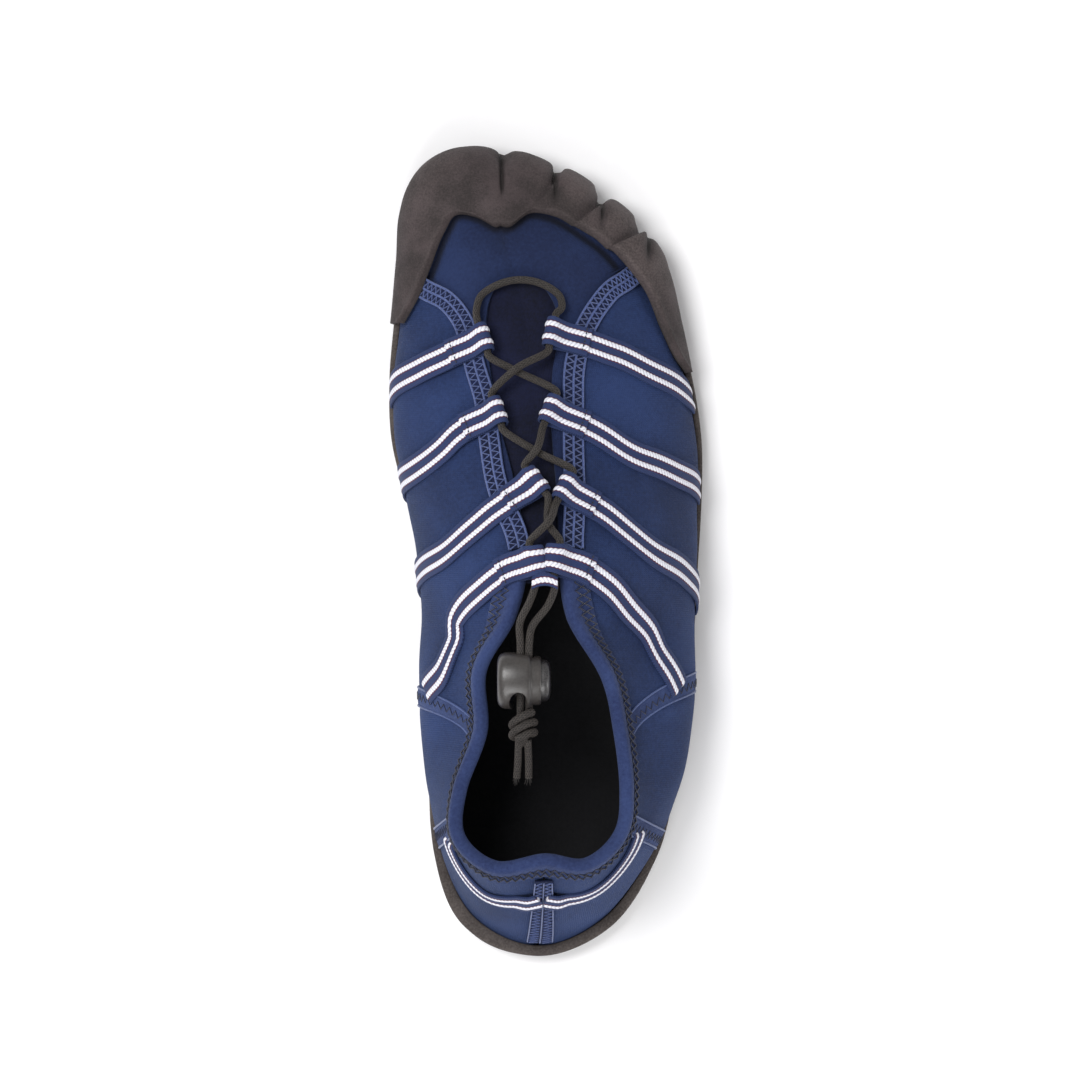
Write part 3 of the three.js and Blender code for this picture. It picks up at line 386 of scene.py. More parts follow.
def edit_all(obj):
    only(obj)
    bpy.ops.object.mode_set(mode="EDIT")
    bpy.ops.mesh.select_all(action="SELECT")


def apply_all(obj):
    only(obj)
    for modifier in list(obj.modifiers):
        bpy.ops.object.modifier_apply(modifier=modifier.name)
    return obj


def flat_map(along, across):
    """Map values for a grid: one value per row and one per column, in millimetres."""
    return np.stack(np.broadcast_arrays(np.asarray(along)[:, None], np.asarray(across)[None, :]), axis=-1)


def grid_sheet(name, points, uv, outward, relief=None):
    """A grid primitive with its vertices moved to the points (rows by columns) and faces turned outward."""
    rows, columns = points.shape[:2]
    bpy.ops.object.select_all(action="DESELECT")
    bpy.ops.mesh.primitive_grid_add(x_subdivisions=columns - 1, y_subdivisions=rows - 1, size=1)
    obj = bpy.context.active_object
    obj.name = obj.data.name = name
    mesh = obj.data
    flat = np.empty(len(mesh.vertices) * 3)
    mesh.vertices.foreach_get("co", flat)
    flat = flat.reshape(-1, 3)
    column = np.rint((flat[:, 0] + 0.5) * (columns - 1)).astype(int)
    row = np.rint((flat[:, 1] + 0.5) * (rows - 1)).astype(int)
    mesh.vertices.foreach_set("co", in_frame(points[row, column]).astype(np.float32).ravel())
    corner = np.empty(len(mesh.loops), dtype=int)
    mesh.loops.foreach_get("vertex_index", corner)
    layer = mesh.uv_layers.active or mesh.uv_layers.new()
    layer.name = "cloth"
    layer.data.foreach_set("uv", (uv[row, column][corner] * MM).astype(np.float32).ravel())
    # relief: a value at each point that the finishes turn into painted shade and painted highlight
    if relief is not None:
        attribute = mesh.attributes.new("relief", "FLOAT", "POINT")
        attribute.data.foreach_set("value", relief[row, column].astype(np.float32))
    by_column = np.gradient(points, axis=1)
    by_row = np.gradient(points, axis=0)
    facing = np.sum(np.cross(by_column, by_row) * outward)
    mesh.update()
    if facing < 0:
        edit_all(obj)
        bpy.ops.mesh.flip_normals()
        bpy.ops.object.mode_set(mode="OBJECT")
    return obj


def merged(name, parts, distance=0.02):
    bpy.ops.object.select_all(action="DESELECT")
    for part in parts:
        part.select_set(True)
    bpy.context.view_layer.objects.active = parts[0]
    bpy.ops.object.join()
    obj = bpy.context.active_object
    obj.name = obj.data.name = name
    edit_all(obj)
    bpy.ops.mesh.remove_doubles(threshold=distance * MM)
    bpy.ops.object.mode_set(mode="OBJECT")
    return obj


def facing_out(obj):
    edit_all(obj)
    bpy.ops.mesh.normals_make_consistent(inside=False)
    bpy.ops.object.mode_set(mode="OBJECT")
    return obj


def closed(obj):
    """Joins the long seam of a sheet that was bent round, and closes its two ends."""
    edit_all(obj)
    bpy.ops.mesh.remove_doubles(threshold=0.001 * MM)
    bpy.ops.mesh.fill_holes(sides=0)
    bpy.ops.object.mode_set(mode="OBJECT")
    return obj


def rounded_edges(obj, width, segments=2, degrees=50):
    bevel = obj.modifiers.new("rounding", "BEVEL")
    bevel.width = width * MM
    bevel.segments = segments
    bevel.limit_method = "ANGLE"
    bevel.angle_limit = math.radians(degrees)
    return apply_all(obj)


def thickened(obj, thickness, rounding, lining=0):
    solid = obj.modifiers.new("thickness", "SOLIDIFY")
    solid.thickness = thickness * MM
    solid.offset = -1
    solid.material_offset = lining
    return rounded_edges(obj, rounding)


def carved(obj, *tools, solver="EXACT"):
    for tool in tools:
        cut = obj.modifiers.new(tool.name, "BOOLEAN")
        cut.operation, cut.object, cut.solver = "DIFFERENCE", tool, solver
    apply_all(obj)
    for tool in tools:
        bpy.data.objects.remove(tool, do_unlink=True)
    return obj


def finished(obj, materials, body, nodes=(), angle=50):
    obj.data.materials.clear()
    for one in materials:
        obj.data.materials.append(one)
    only(obj)
    bpy.ops.object.shade_smooth_by_angle(angle=math.radians(angle))
    if body:
        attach(obj, body)
    if nodes:
        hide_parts(*nodes)
    return obj


def tube(name, path, radius, sides):
    """A round tube along the path with its ends closed; its map runs along and around."""
    path = np.asarray(path, float)
    forward = unit(np.gradient(path, axis=0))
    across = np.array([0.0, 0.0, 1.0])
    rings = []
    angles = np.linspace(0, 2 * math.pi, sides + 1)
    for spot, ahead in zip(path, forward):
        across = unit(across - ahead * np.dot(across, ahead))
        side = np.cross(ahead, across)
        rings.append(spot + radius * (np.cos(angles)[:, None] * across + np.sin(angles)[:, None] * side))
    rings = np.array(rings)
    uv = flat_map(distance_along(path), angles * radius)
    return facing_out(closed(grid_sheet(name, rings, uv, rings - path[:, None])))


def threads(name, paths, radius):
    """Sewing thread: one fine tube along each path, joined in one piece."""
    data = bpy.data.curves.new(name, "CURVE")
    data.dimensions = "3D"
    data.bevel_depth = radius * MM
    data.bevel_resolution = 1
    data.use_fill_caps = True
    for path in paths:
        spline = data.splines.new("POLY")
        spline.points.add(len(path) - 1)
        places = np.hstack([in_frame(path), np.ones((len(path), 1))])
        spline.points.foreach_set("co", places.astype(np.float32).ravel())
    obj = bpy.data.objects.new(name, data)
    bpy.context.scene.collection.objects.link(obj)
    only(obj)
    bpy.ops.object.convert(target="MESH")
    obj = bpy.context.active_object
    obj.name = obj.data.name = name
    return obj


# ---- finishes ----
def paint(red, green, blue):
    """A colour as it is mixed for print (0 to 255), turned into shader values."""
    mixed = [c / 255 for c in (red, green, blue)]
    return tuple(c / 12.92 if c <= 0.04045 else ((c + 0.055) / 1.055) ** 2.4 for c in mixed) + (1.0,)


class Nodes:
    """Short ways of adding and joining nodes in one tree."""

    def __init__(self, tree):
        self.tree = tree

    def add(self, kind, **settings):
        node = self.tree.nodes.new(kind)
        for key, value in settings.items():
            setattr(node, key, value)
        return node

    def plug(self, value, socket):
        if isinstance(value, bpy.types.NodeSocket):
            self.tree.links.new(value, socket)
        else:
            socket.default_value = value
        return socket

    def maths(self, operation, *values):
        node = self.add("ShaderNodeMath", operation=operation)
        for value, socket in zip(values, node.inputs):
            self.plug(value, socket)
        return node.outputs[0]

    def band(self, value, low, high, soft):
        """1 where value lies between low and high, with soft edges."""
        rise = self.ramp(value, low - soft, low + soft)
        fall = self.ramp(value, high - soft, high + soft)
        return self.maths("SUBTRACT", rise, fall)

    def ramp(self, value, low, high, to_low=0.0, to_high=1.0):
        node = self.add("ShaderNodeMapRange", interpolation_type="SMOOTHSTEP")
        ends = {"Value": value, "From Min": low, "From Max": high, "To Min": to_low, "To Max": to_high}
        for key, one in ends.items():
            self.plug(one, node.inputs[key])
        return node.outputs["Result"]

    def humps(self, value):
        """0 at each whole number of value and 1 half way between."""
        return self.maths("ABSOLUTE", self.maths("SINE", self.maths("MULTIPLY", value, math.pi)))

    def noise(self, vector, scale, detail, roughness=0.55):
        node = self.add("ShaderNodeTexNoise")
        self.plug(vector, node.inputs["Vector"])
        for key, one in (("Scale", scale), ("Detail", detail), ("Roughness", roughness)):
            self.plug(one, node.inputs[key])
        return node.outputs["Fac"]

    def mix(self, share, first, second):
        node = self.add("ShaderNodeMix", data_type="RGBA")
        self.plug(share, node.inputs[0])
        self.plug(first, node.inputs[6])
        self.plug(second, node.inputs[7])
        return node.outputs[2]

    def split(self, vector):
        node = self.add("ShaderNodeSeparateXYZ")
        self.plug(vector, node.inputs[0])
        return node.outputs[0], node.outputs[1], node.outputs[2]


def shader_group(name, inputs, outputs):
    tree = bpy.data.node_groups.new(name, "ShaderNodeTree")
    for direction, sockets in (("INPUT", inputs), ("OUTPUT", outputs)):
        for socket, kind in sockets:
            tree.interface.new_socket(name=socket, in_out=direction, socket_type="NodeSocket" + kind)
    kit = Nodes(tree)
    return kit, kit.add("NodeGroupInput").outputs, kit.add("NodeGroupOutput").inputs


def make_knit_face():
    """Fine knitted face: columns of small V stitches. The map is in metres on the cloth."""
    kit, given, out = shader_group(
        "knit_face",
        [("Map", "Vector"), ("Stitches per metre", "Float")],
        [("Height", "Float"), ("Shade", "Float")],
    )
    x, y, _ = kit.split(given["Map"])
    column = kit.maths("MULTIPLY", x, given["Stitches per metre"])
    lean = kit.maths("PINGPONG", column, 0.5)
    row = kit.maths("ADD", kit.maths("MULTIPLY", y, given["Stitches per metre"]), lean)
    rib, loop = kit.humps(column), kit.humps(row)
    height = kit.maths("MULTIPLY", kit.maths("POWER", rib, 0.6), kit.maths("POWER", loop, 0.6))
    kit.plug(height, out["Height"])
    kit.plug(kit.maths("ADD", kit.maths("MULTIPLY", height, 0.35), 0.65), out["Shade"])
    return kit.tree


def make_melange():
    """Slow and fine changes of tone over the object, as in dyed cloth or moulded rubber."""
    kit, given, out = shader_group(
        "melange", [("Fine", "Float"), ("Broad", "Float")], [("Tone", "Float"), ("Grain", "Float")]
    )
    place = kit.add("ShaderNodeTexCoord").outputs["Object"]
    broad = kit.noise(place, given["Broad"], 3.0)
    fine = kit.noise(place, given["Fine"], 5.0, 0.65)
    tone = kit.maths("ADD", kit.maths("MULTIPLY", broad, 0.6), kit.maths("MULTIPLY", fine, 0.4))
    kit.plug(tone, out["Tone"])
    kit.plug(fine, out["Grain"])
    return kit.tree


def make_braid():
    """Round braid: eight strands each way. The map runs along and around the cord, in metres."""
    kit, given, out = shader_group(
        "braid", [("Map", "Vector"), ("Pitch", "Float"), ("Strand", "Float")], [("Height", "Float")]
    )
    along, around, _ = kit.split(given["Map"])
    run = kit.maths("DIVIDE", along, given["Pitch"])
    turn = kit.maths("DIVIDE", around, given["Strand"])
    waves = []
    for way in ("ADD", "SUBTRACT"):
        waves.append(kit.maths("SINE", kit.maths("MULTIPLY", kit.maths(way, run, turn), 2 * math.pi)))
    kit.plug(kit.ramp(kit.maths("MAXIMUM", *waves), -0.4, 1.0), out["Height"])
    return kit.tree


def make_woven_stripes():
    """Woven tape with two corded stripes, each between two thin coloured threads."""
    kit, given, out = shader_group(
        "woven_stripes",
        [("Map", "Vector")],
        [("Stripe", "Float"), ("Piping", "Float"), ("Height", "Float"), ("Twist", "Float")],
    )
    along, across, _ = kit.split(given["Map"])
    twist_pitch = CORD_TWIST * MM
    tooth = kit.maths("PINGPONG", kit.maths("DIVIDE", along, twist_pitch), 0.5)
    off = kit.maths("ADD", kit.maths("ABSOLUTE", across), kit.maths("MULTIPLY", tooth, 0.00045))
    off = kit.maths("SUBTRACT", off, 0.00011)
    stripe_from, stripe_to, piping = 0.00146, 0.00316, 0.00034
    kit.plug(kit.band(off, stripe_from, stripe_to, 0.0001), out["Stripe"])
    inner = kit.band(off, stripe_from - piping, stripe_from, 0.00008)
    outer = kit.band(off, stripe_to, stripe_to + piping, 0.00008)
    kit.plug(kit.maths("ADD", inner, outer), out["Piping"])
    weft = kit.maths("SINE", kit.maths("MULTIPLY", along, 2 * math.pi / 0.0008))
    warp = kit.maths("SINE", kit.maths("MULTIPLY", across, 2 * math.pi / 0.0006))
    weave = kit.maths("MULTIPLY", kit.maths("MULTIPLY", weft, warp), 0.5)
    kit.plug(kit.maths("ADD", weave, 0.5), out["Height"])
    turns, lean = kit.maths("DIVIDE", along, twist_pitch), kit.maths("DIVIDE", across, TWIST_LEAN * MM)
    slant = kit.maths("ADD", turns, lean)
    kit.plug(kit.maths("POWER", kit.humps(slant), 0.5), out["Twist"])
    return kit.tree


KNIT_FACE = make_knit_face()
MELANGE = make_melange()
BRAID = make_braid()
WOVEN = make_woven_stripes()


def finish_start(name, roughness, sheen=0.0, coat=0.0, specular=0.5, metallic=0.0, sheen_tint=(1, 1, 1, 1)):
    material = bpy.data.materials.new(name)
    material.use_nodes = True
    kit = Nodes(material.node_tree)
    shader = material.node_tree.nodes["Principled BSDF"]
    settings = {
        "Roughness": roughness, "Sheen Weight": sheen, "Sheen Tint": sheen_tint, "Coat Weight": coat,
        "Specular IOR Level": specular, "Metallic": metallic, "Sheen Roughness": 0.4,
    }
    for key, value in settings.items():
        shader.inputs[key].default_value = value
    return material, kit, shader


def placed(kit, group, **values):
    node = kit.add("ShaderNodeGroup", node_tree=group)
    for key, value in values.items():
        kit.plug(value, node.inputs[key.replace("_", " ")])
    return node


def bumped(kit, shader, height, distance):
    bump = kit.add("ShaderNodeBump")
    bump.inputs["Strength"].default_value = 1.0
    bump.inputs["Distance"].default_value = distance
    kit.plug(height, bump.inputs["Height"])
    kit.plug(bump.outputs["Normal"], shader.inputs["Normal"])


def knit_finish(name, colour, deep, stitches=1600.0, roughness=0.85, sheen=0.08):
    material, kit, shader = finish_start(name, roughness, sheen, specular=0.25, sheen_tint=(0.55, 0.68, 1, 1))
    cloth = kit.add("ShaderNodeUVMap", uv_map="cloth").outputs[0]
    knit = placed(kit, KNIT_FACE, Map=cloth, Stitches_per_metre=stitches)
    tone = placed(kit, MELANGE, Fine=900.0, Broad=28.0)
    share = kit.ramp(tone.outputs["Tone"], 0.32, 0.68)
    colour = kit.mix(share, deep, colour)
    shaded = kit.mix(knit.outputs["Shade"], deep, colour)
    # painted shade: where the 'relief' attribute is set, the knit is mixed towards near black
    painted_shade_share = kit.add("ShaderNodeAttribute", attribute_name="relief").outputs["Fac"]
    kit.plug(kit.mix(painted_shade_share, shaded, paint(9, 11, 24)), shader.inputs["Base Color"])
    height = kit.maths("ADD", knit.outputs["Height"], kit.maths("MULTIPLY", tone.outputs["Grain"], 0.8))
    bumped(kit, shader, height, 0.00012)
    return material


def rubber_finish(name, colour, deep, worn_and_highlit, roughness=0.72):
    material, kit, shader = finish_start(name, roughness, specular=0.35)
    tone = placed(kit, MELANGE, Fine=1500.0, Broad=70.0)
    base = kit.mix(kit.ramp(tone.outputs["Tone"], 0.36, 0.64), deep, colour)
    relief = kit.add("ShaderNodeAttribute", attribute_name="relief").outputs["Fac"]
    # raised parts (high 'relief') are mixed in patches towards the lighter colour: scuffing and painted highlight
    # together
    raised, patchy = kit.ramp(relief, 0.45, 1.0), kit.ramp(tone.outputs["Grain"], 0.35, 0.7, 0.3, 1.0)
    scuff_and_highlight = kit.maths("MULTIPLY", raised, patchy)
    base = kit.mix(kit.maths("MULTIPLY", scuff_and_highlight, 0.6), base, worn_and_highlit)
    # painted shade: low 'relief' (creases, the cap's rounded edge) is mixed towards near black
    base = kit.mix(kit.ramp(relief, 0.0, 0.35, 0.75, 0.0), base, paint(24, 21, 20))
    kit.plug(base, shader.inputs["Base Color"])
    uneven = kit.ramp(tone.outputs["Tone"], 0.3, 0.7, roughness + 0.1, roughness - 0.08)
    kit.plug(uneven, shader.inputs["Roughness"])
    bumped(kit, shader, tone.outputs["Grain"], 0.00022)
    return material


def cord_finish():
    warm = (1, 0.9, 0.8, 1)
    material, kit, shader = finish_start("braided_elastic_cord", 0.6, 0.1, specular=0.35, sheen_tint=warm)
    cloth = kit.add("ShaderNodeUVMap", uv_map="cloth").outputs[0]
    braid = placed(kit, BRAID, Map=cloth, Pitch=0.0017, Strand=2 * math.pi * LACE / 2 * MM / 10)
    tone = placed(kit, MELANGE, Fine=2000.0, Broad=120.0)
    base = kit.mix(kit.ramp(tone.outputs["Grain"], 0.3, 0.7), paint(34, 31, 31), paint(72, 66, 62))
    # painted shade: the cord is drawn near black in the grooves between the braid's strands
    kit.plug(kit.mix(braid.outputs["Height"], paint(16, 14, 14), base), shader.inputs["Base Color"])
    bumped(kit, shader, braid.outputs["Height"], 0.00022)
    return material


def webbing_finish():
    cool = (0.7, 0.8, 1, 1)
    material, kit, shader = finish_start("striped_webbing", 0.75, 0.08, specular=0.3, sheen_tint=cool)
    cloth = kit.add("ShaderNodeUVMap", uv_map="cloth").outputs[0]
    woven = placed(kit, WOVEN, Map=cloth)
    tone = placed(kit, MELANGE, Fine=1500.0, Broad=60.0)
    # painted shade: the navy ground is darker in the low points of the weave
    navy = kit.mix(woven.outputs["Height"], paint(24, 34, 68), paint(46, 62, 106))
    with_piping = kit.mix(woven.outputs["Piping"], navy, paint(84, 30, 44))
    # painted shade: the white stripes are greyer in the grooves of the twist
    yarn = kit.mix(woven.outputs["Twist"], paint(186, 188, 204), paint(238, 238, 246))
    yarn = kit.mix(kit.ramp(tone.outputs["Grain"], 0.35, 0.75, 0.0, 0.15), yarn, paint(150, 150, 160))
    kit.plug(kit.mix(woven.outputs["Stripe"], with_piping, yarn), shader.inputs["Base Color"])
    relief = kit.maths("MULTIPLY", woven.outputs["Twist"], woven.outputs["Stripe"])
    bumped(kit, shader, kit.maths("ADD", relief, kit.maths("MULTIPLY", woven.outputs["Height"], 0.5)), 0.0002)
    return material


def thread_finish(name, colour, deep):
    material, kit, shader = finish_start(name, 0.6, 0.3, specular=0.3)
    tone = placed(kit, MELANGE, Fine=3000.0, Broad=400.0)
    kit.plug(kit.mix(kit.ramp(tone.outputs["Grain"], 0.3, 0.7), deep, colour), shader.inputs["Base Color"])
    bumped(kit, shader, tone.outputs["Grain"], 0.0001)
    return material


def plastic_finish(name, colour, deep, roughness, coat):
    material, kit, shader = finish_start(name, roughness, coat=coat, specular=0.5)
    shader.inputs["Coat Roughness"].default_value = 0.3
    tone = placed(kit, MELANGE, Fine=1800.0, Broad=90.0)
    kit.plug(kit.mix(kit.ramp(tone.outputs["Tone"], 0.35, 0.65), deep, colour), shader.inputs["Base Color"])
    uneven = kit.ramp(tone.outputs["Grain"], 0.3, 0.7, roughness - 0.06, roughness + 0.1)
    kit.plug(uneven, shader.inputs["Roughness"])
    bumped(kit, shader, tone.outputs["Grain"], 0.00005)
    return material


def floor_finish():
    material, kit, shader = finish_start("paper_floor", 0.9, specular=0.1)
    tone = placed(kit, MELANGE, Fine=300.0, Broad=4.0)
    grey, white = (0.93, 0.92, 0.94, 1), (0.96, 0.96, 0.96, 1)
    kit.plug(kit.mix(tone.outputs["Tone"], grey, white), shader.inputs["Base Color"])
    return material


def steel_finish():
    material, kit, shader = finish_start("spring_steel", 0.32, metallic=1.0)
    tone = placed(kit, MELANGE, Fine=2500.0, Broad=300.0)
    base = kit.mix(tone.outputs["Tone"], paint(120, 122, 126), paint(205, 206, 210))
    kit.plug(base, shader.inputs["Base Color"])
    kit.plug(kit.ramp(tone.outputs["Grain"], 0.3, 0.7, 0.22, 0.42), shader.inputs["Roughness"])
    return material


NAVY = knit_finish("navy_knit", paint(42, 61, 107), paint(24, 37, 70))
DARK_NAVY = knit_finish("vamp_knit", paint(37, 52, 92), paint(21, 31, 62))
LINING = knit_finish("lining_jersey", paint(42, 46, 78), paint(22, 24, 44), 1400.0, 0.9, 0.06)
GUSSET_CLOTH = knit_finish("stretch_gusset", paint(23, 28, 60), paint(9, 11, 26), 2000.0, 0.8, 0.06)
BAND = knit_finish("binding_tape", paint(58, 74, 120), paint(33, 44, 82), 2400.0, 0.85, 0.1)
SEAM_BAND = knit_finish("seam_tape", paint(30, 40, 78), paint(13, 19, 42), 2400.0, 0.85, 0.08)
INSOLE_CLOTH = knit_finish("insole_cloth", paint(24, 24, 27), paint(10, 10, 12), 2400.0, 0.7, 0.05)
BOARD = knit_finish("lasting_felt", paint(40, 40, 42), paint(20, 20, 22), 900.0, 0.95, 0.0)
CAP_RUBBER = rubber_finish("cap_rubber", paint(66, 56, 57), paint(42, 36, 36), paint(98, 88, 86))
SOLE_RUBBER = rubber_finish("sole_rubber", paint(72, 65, 62), paint(46, 40, 38), paint(104, 97, 94), 0.8)
CORD = cord_finish()
WEBBING = webbing_finish()
PALE_THREAD = thread_finish("pale_blue_thread", paint(92, 108, 158), paint(50, 62, 106))
EDGE_THREAD = thread_finish("seam_edge_thread", paint(84, 102, 150), paint(48, 60, 102))
DARK_THREAD = thread_finish("dark_thread", paint(30, 36, 62), paint(12, 14, 28))
BARREL_PLASTIC = plastic_finish("barrel_plastic", paint(58, 54, 52), paint(36, 33, 32), 0.38, 0.5)
BUTTON_PLASTIC = plastic_finish("button_plastic", paint(50, 48, 49), paint(28, 27, 28), 0.28, 0.7)
STEEL = steel_finish()

bpy.ops.mesh.primitive_plane_add(size=6)
floor = bpy.context.active_object
floor.name = "paper_floor"
floor.data.materials.append(floor_finish())


# ---- straps: woven tape from the sole up to a loop that holds the lace ----
STRAP_LOW = KNIT + TRIM + 2.3 * FIT
TUNNEL_RADIUS = LACE / 2 + CORD_SLACK
TUNNEL_HEIGHT = STRAP_LOW + STRAP + TUNNEL_RADIUS
STITCH_BACK = 11.0
# each strap starts at a place [w, v] of the upper, and its loop ends the points of the plan that follow
STRAPS = {
    "webbing_medial_1": ((-0.905, 0.3505), [(-38.7, 61.3), (-26.9, 66.6), (-19.2, 69.7)]),
    "webbing_medial_2": ((-0.905, 0.4545), [(-38.5, 29.1), (-25.1, 40.1), (-14.4, 44.4)]),
    "webbing_medial_3": ((-0.905, 0.569), [(-31.7, -0.7), (-15, 12.6), (-2.7, 20.8)]),
    "webbing_medial_4": ((-0.55, 0.6905), [
        (-32.3, -40), (-28.4, -31), (-28, -23.5), (-20, -14.4), (-10.2, -7.4), (-3.3, -5.6),
    ]),
    "webbing_lateral_1": ((0.905, 0.3655), [(32, 61.3), (15.1, 68), (2, 71.4)]),
    "webbing_lateral_2": ((0.905, 0.4605), [(31.8, 30.1), (13.4, 40.1), (1.3, 44.8)]),
    "webbing_lateral_3": ((0.905, 0.585), [(35, -0.7), (17.2, 12.4), (5.4, 18.8)]),
    "webbing_lateral_4": ((0.535, 0.6865), [
        (37.5, -36.5), (32.6, -27), (22, -14.4), (10.6, -6.6), (3.3, -5),
    ]),
}
STRAP_LINES = {
    name: run_line([start, *(under(x, y) for x, y in route)]) for name, (start, route) in STRAPS.items()
}


def tunnel_of(name):
    _, _, spot, forward, normal, beside = (np.asarray(part) for part in run_frame(STRAP_LINES[name], 1.0))
    return spot + normal * TUNNEL_HEIGHT, forward, normal, beside


# ---- the free ends of the lace, which run through the cord lock to the knot ----
LOCK = np.array([-8.5, -43.2, 69.9])
SLOPE = -0.2
STRAND_MIDDLE = LOCK[0] + 1.9
STRAND_SPACING = 2.9
STRAND_END = 10.6
KNOT_MIDDLE = STRAND_MIDDLE - 0.5
KNOT_LENGTH = 11


def along_slide(distance, x=STRAND_MIDDLE, height=0.0):
    return np.array([x, LOCK[1] - distance, LOCK[2] + SLOPE * distance + height])


STRAND_ROUTES = {
    "medial": [(-2.6, -8.4, 73.2), (-3.3, -12.4, 72.9), (-5.2, -17.5, 73.2), (-8.2, -24, 72.4)],
    "lateral": [(2.6, -8.0, 73.2), (3.3, -12.0, 72.9), (1.2, -18, 73.2), (-4.2, -25.4, 71.9)],
}


def make_strand(side):
    x = STRAND_MIDDLE + SIDE[side] * STRAND_SPACING / 2
    route = [*STRAND_ROUTES[side], along_slide(-12, x), along_slide(0, x), along_slide(STRAND_END + 1.5, x)]
    line = Line(route)
    path = line(np.linspace(0, 1, 110))
    obj = tube(f"lace_end_{side}_cord", path, LACE / 2, 20)
    finished(obj, [CORD], None, [f"lace_end_{side}"])
    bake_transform(obj)
    points = line(np.linspace(0, 1, 40))
    return obj, [tuple(p) for p in in_frame(points)], line.length


def make_tail(side):
    """The cut end past the knot, with a few loose fibres."""
    out = SIDE[side]
    first = STRAND_END + KNOT_LENGTH + 0.4
    line = Line([
        along_slide(first - 2.2, KNOT_MIDDLE + 1.5 * out),
        along_slide(first, KNOT_MIDDLE + 1.6 * out),
        along_slide(first + 5.5, KNOT_MIDDLE + 1.8 * out, -0.3),
        along_slide(first + 10.6, STRAND_MIDDLE - 0.7 + 2.0 * out, -0.9),
    ])
    cord = tube(f"lace_tail_{side}_cord", line(np.linspace(0, 1, 34)), LACE / 2 * 0.98, 20)
    tip, before = line(1.0), line(0.93)
    ahead = unit(tip - before)
    chance = np.random.default_rng(7 if out < 0 else 11)
    fibres = []
    for _ in range(16):
        spread = chance.normal(0, 1, 3)
        root = tip - ahead * 0.6 + spread / max(np.linalg.norm(spread), 1) * 0.8
        end = root + ahead * chance.uniform(1.4, 2.4) + spread * 0.35
        fibres.append(np.array([root, root + ahead * 1.1 + spread * 0.12, end]))
    frayed = threads(f"lace_tail_{side}_fibres", fibres, 0.11)
    finished(frayed, [CORD], "lace_end")
    return finished(cord, [CORD], "lace_end", [f"lace_tail_{side}"]), frayed


def make_knot():
    """Both strands tied together: they cross, pass round themselves and come out side by side."""
    start, end = STRAND_END + 0.2, STRAND_END + 11.3
    turns, wide, high, lean = 2.25, 3.75, 2.95, 1.7
    shares = np.linspace(0, 1, 150)
    coil = np.array([
        along_slide(start + 1.4 + 7.6 * share, KNOT_MIDDLE + wide * math.cos(angle), high * math.sin(angle))
        + np.array([0, lean * math.sin(angle + 0.9), 0])
        for share, angle in zip(shares, 2 * math.pi * turns * shares + 0.6)
    ])
    core = []
    for side in (-1, 1):
        line = Line([
            along_slide(start - 0.6, STRAND_MIDDLE + side * STRAND_SPACING / 2),
            along_slide(start + 3, KNOT_MIDDLE - side * 0.2, side * 1.2),
            along_slide(start + 7, KNOT_MIDDLE - side * 1.0, -side * 1.1),
            along_slide(end, KNOT_MIDDLE + side * 1.5),
        ])
        core.append(tube("knot_core", line(np.linspace(0, 1, 40)), LACE / 2 * 0.97, 16))
    wrap = tube("knot_wrap", coil, LACE / 2, 18)
    knot = merged("lace_knot_cords", [wrap, *core], 0.0005)
    return finished(knot, [CORD], "lace_end", ["lace_knot"])


strands = {side: make_strand(side) for side in SIDE}
tails = {side: make_tail(side) for side in SIDE}
knot = make_knot()


# ---- upper panels: seams are [v, h] ----
SEAMS = {
    "medial": [
        (0.213, 0), (0.216, 0.2), (0.221, 0.35), (0.229, 0.47), (0.239, 0.6), (0.261, 0.685),
        (0.292, 0.732), (0.322, 0.762), (0.358, 0.796), (0.404, 0.807), (0.449, 0.821), (0.482, 0.851),
        (0.505, 0.881), (0.527, 0.902),
    ],
    "lateral": [
        (0.216, 0), (0.219, 0.2), (0.224, 0.32), (0.231, 0.45), (0.239, 0.58), (0.261, 0.702), (0.289, 0.781),
        (0.324, 0.832), (0.359, 0.854), (0.415, 0.873), (0.471, 0.876), (0.505, 0.88), (0.527, 0.885),
    ],
}
THROAT_EDGE = {
    "medial": [
        (0.183, 0), (0.1845, 0.035), (0.188, 0.065), (0.194, 0.095), (0.203, 0.125), (0.217, 0.155),
        (0.235, 0.18), (0.256, 0.195), (0.272, 0.2), (0.322, 0.181), (0.392, 0.15), (0.438, 0.117),
        (0.493, 0.089), (0.53, 0.078),
    ],
    "lateral": [
        (0.183, 0), (0.1845, 0.035), (0.188, 0.065), (0.194, 0.09), (0.203, 0.11), (0.217, 0.13),
        (0.235, 0.145), (0.256, 0.15), (0.29, 0.12), (0.322, 0.085), (0.36, 0.065), (0.392, 0.055),
        (0.493, 0.07), (0.53, 0.078),
    ],
}
COLLAR_EDGE = [(0.527, 0.9), (0.56, 0.94), (0.6, 0.99), (0.62, 0.999), (1, 0.999)]
SEAM_GAP = 0.7
PANEL_TOP = 0.988
ANKLE_FRONT = {
    "medial": [(0.69, 0), (0.692, 0.3), (0.704, 0.6), (0.726, 0.84), (0.75, 0.988)],
    "lateral": [(0.672, 0), (0.676, 0.3), (0.692, 0.6), (0.722, 0.84), (0.752, 0.988)],
}
ANKLE_REAR = [(0.852, 0), (0.851, 0.3), (0.85, 0.6), (0.848, 0.84), (0.846, 0.988)]


def drawn_line(rows):
    return smooth_line(np.array(rows, float) * CLOTH_SCALE, 16) / CLOTH_SCALE


def read(rows, at):
    """Smooth reading of a list of (place, value)."""
    return np.interp(at, *drawn_line(rows).T)


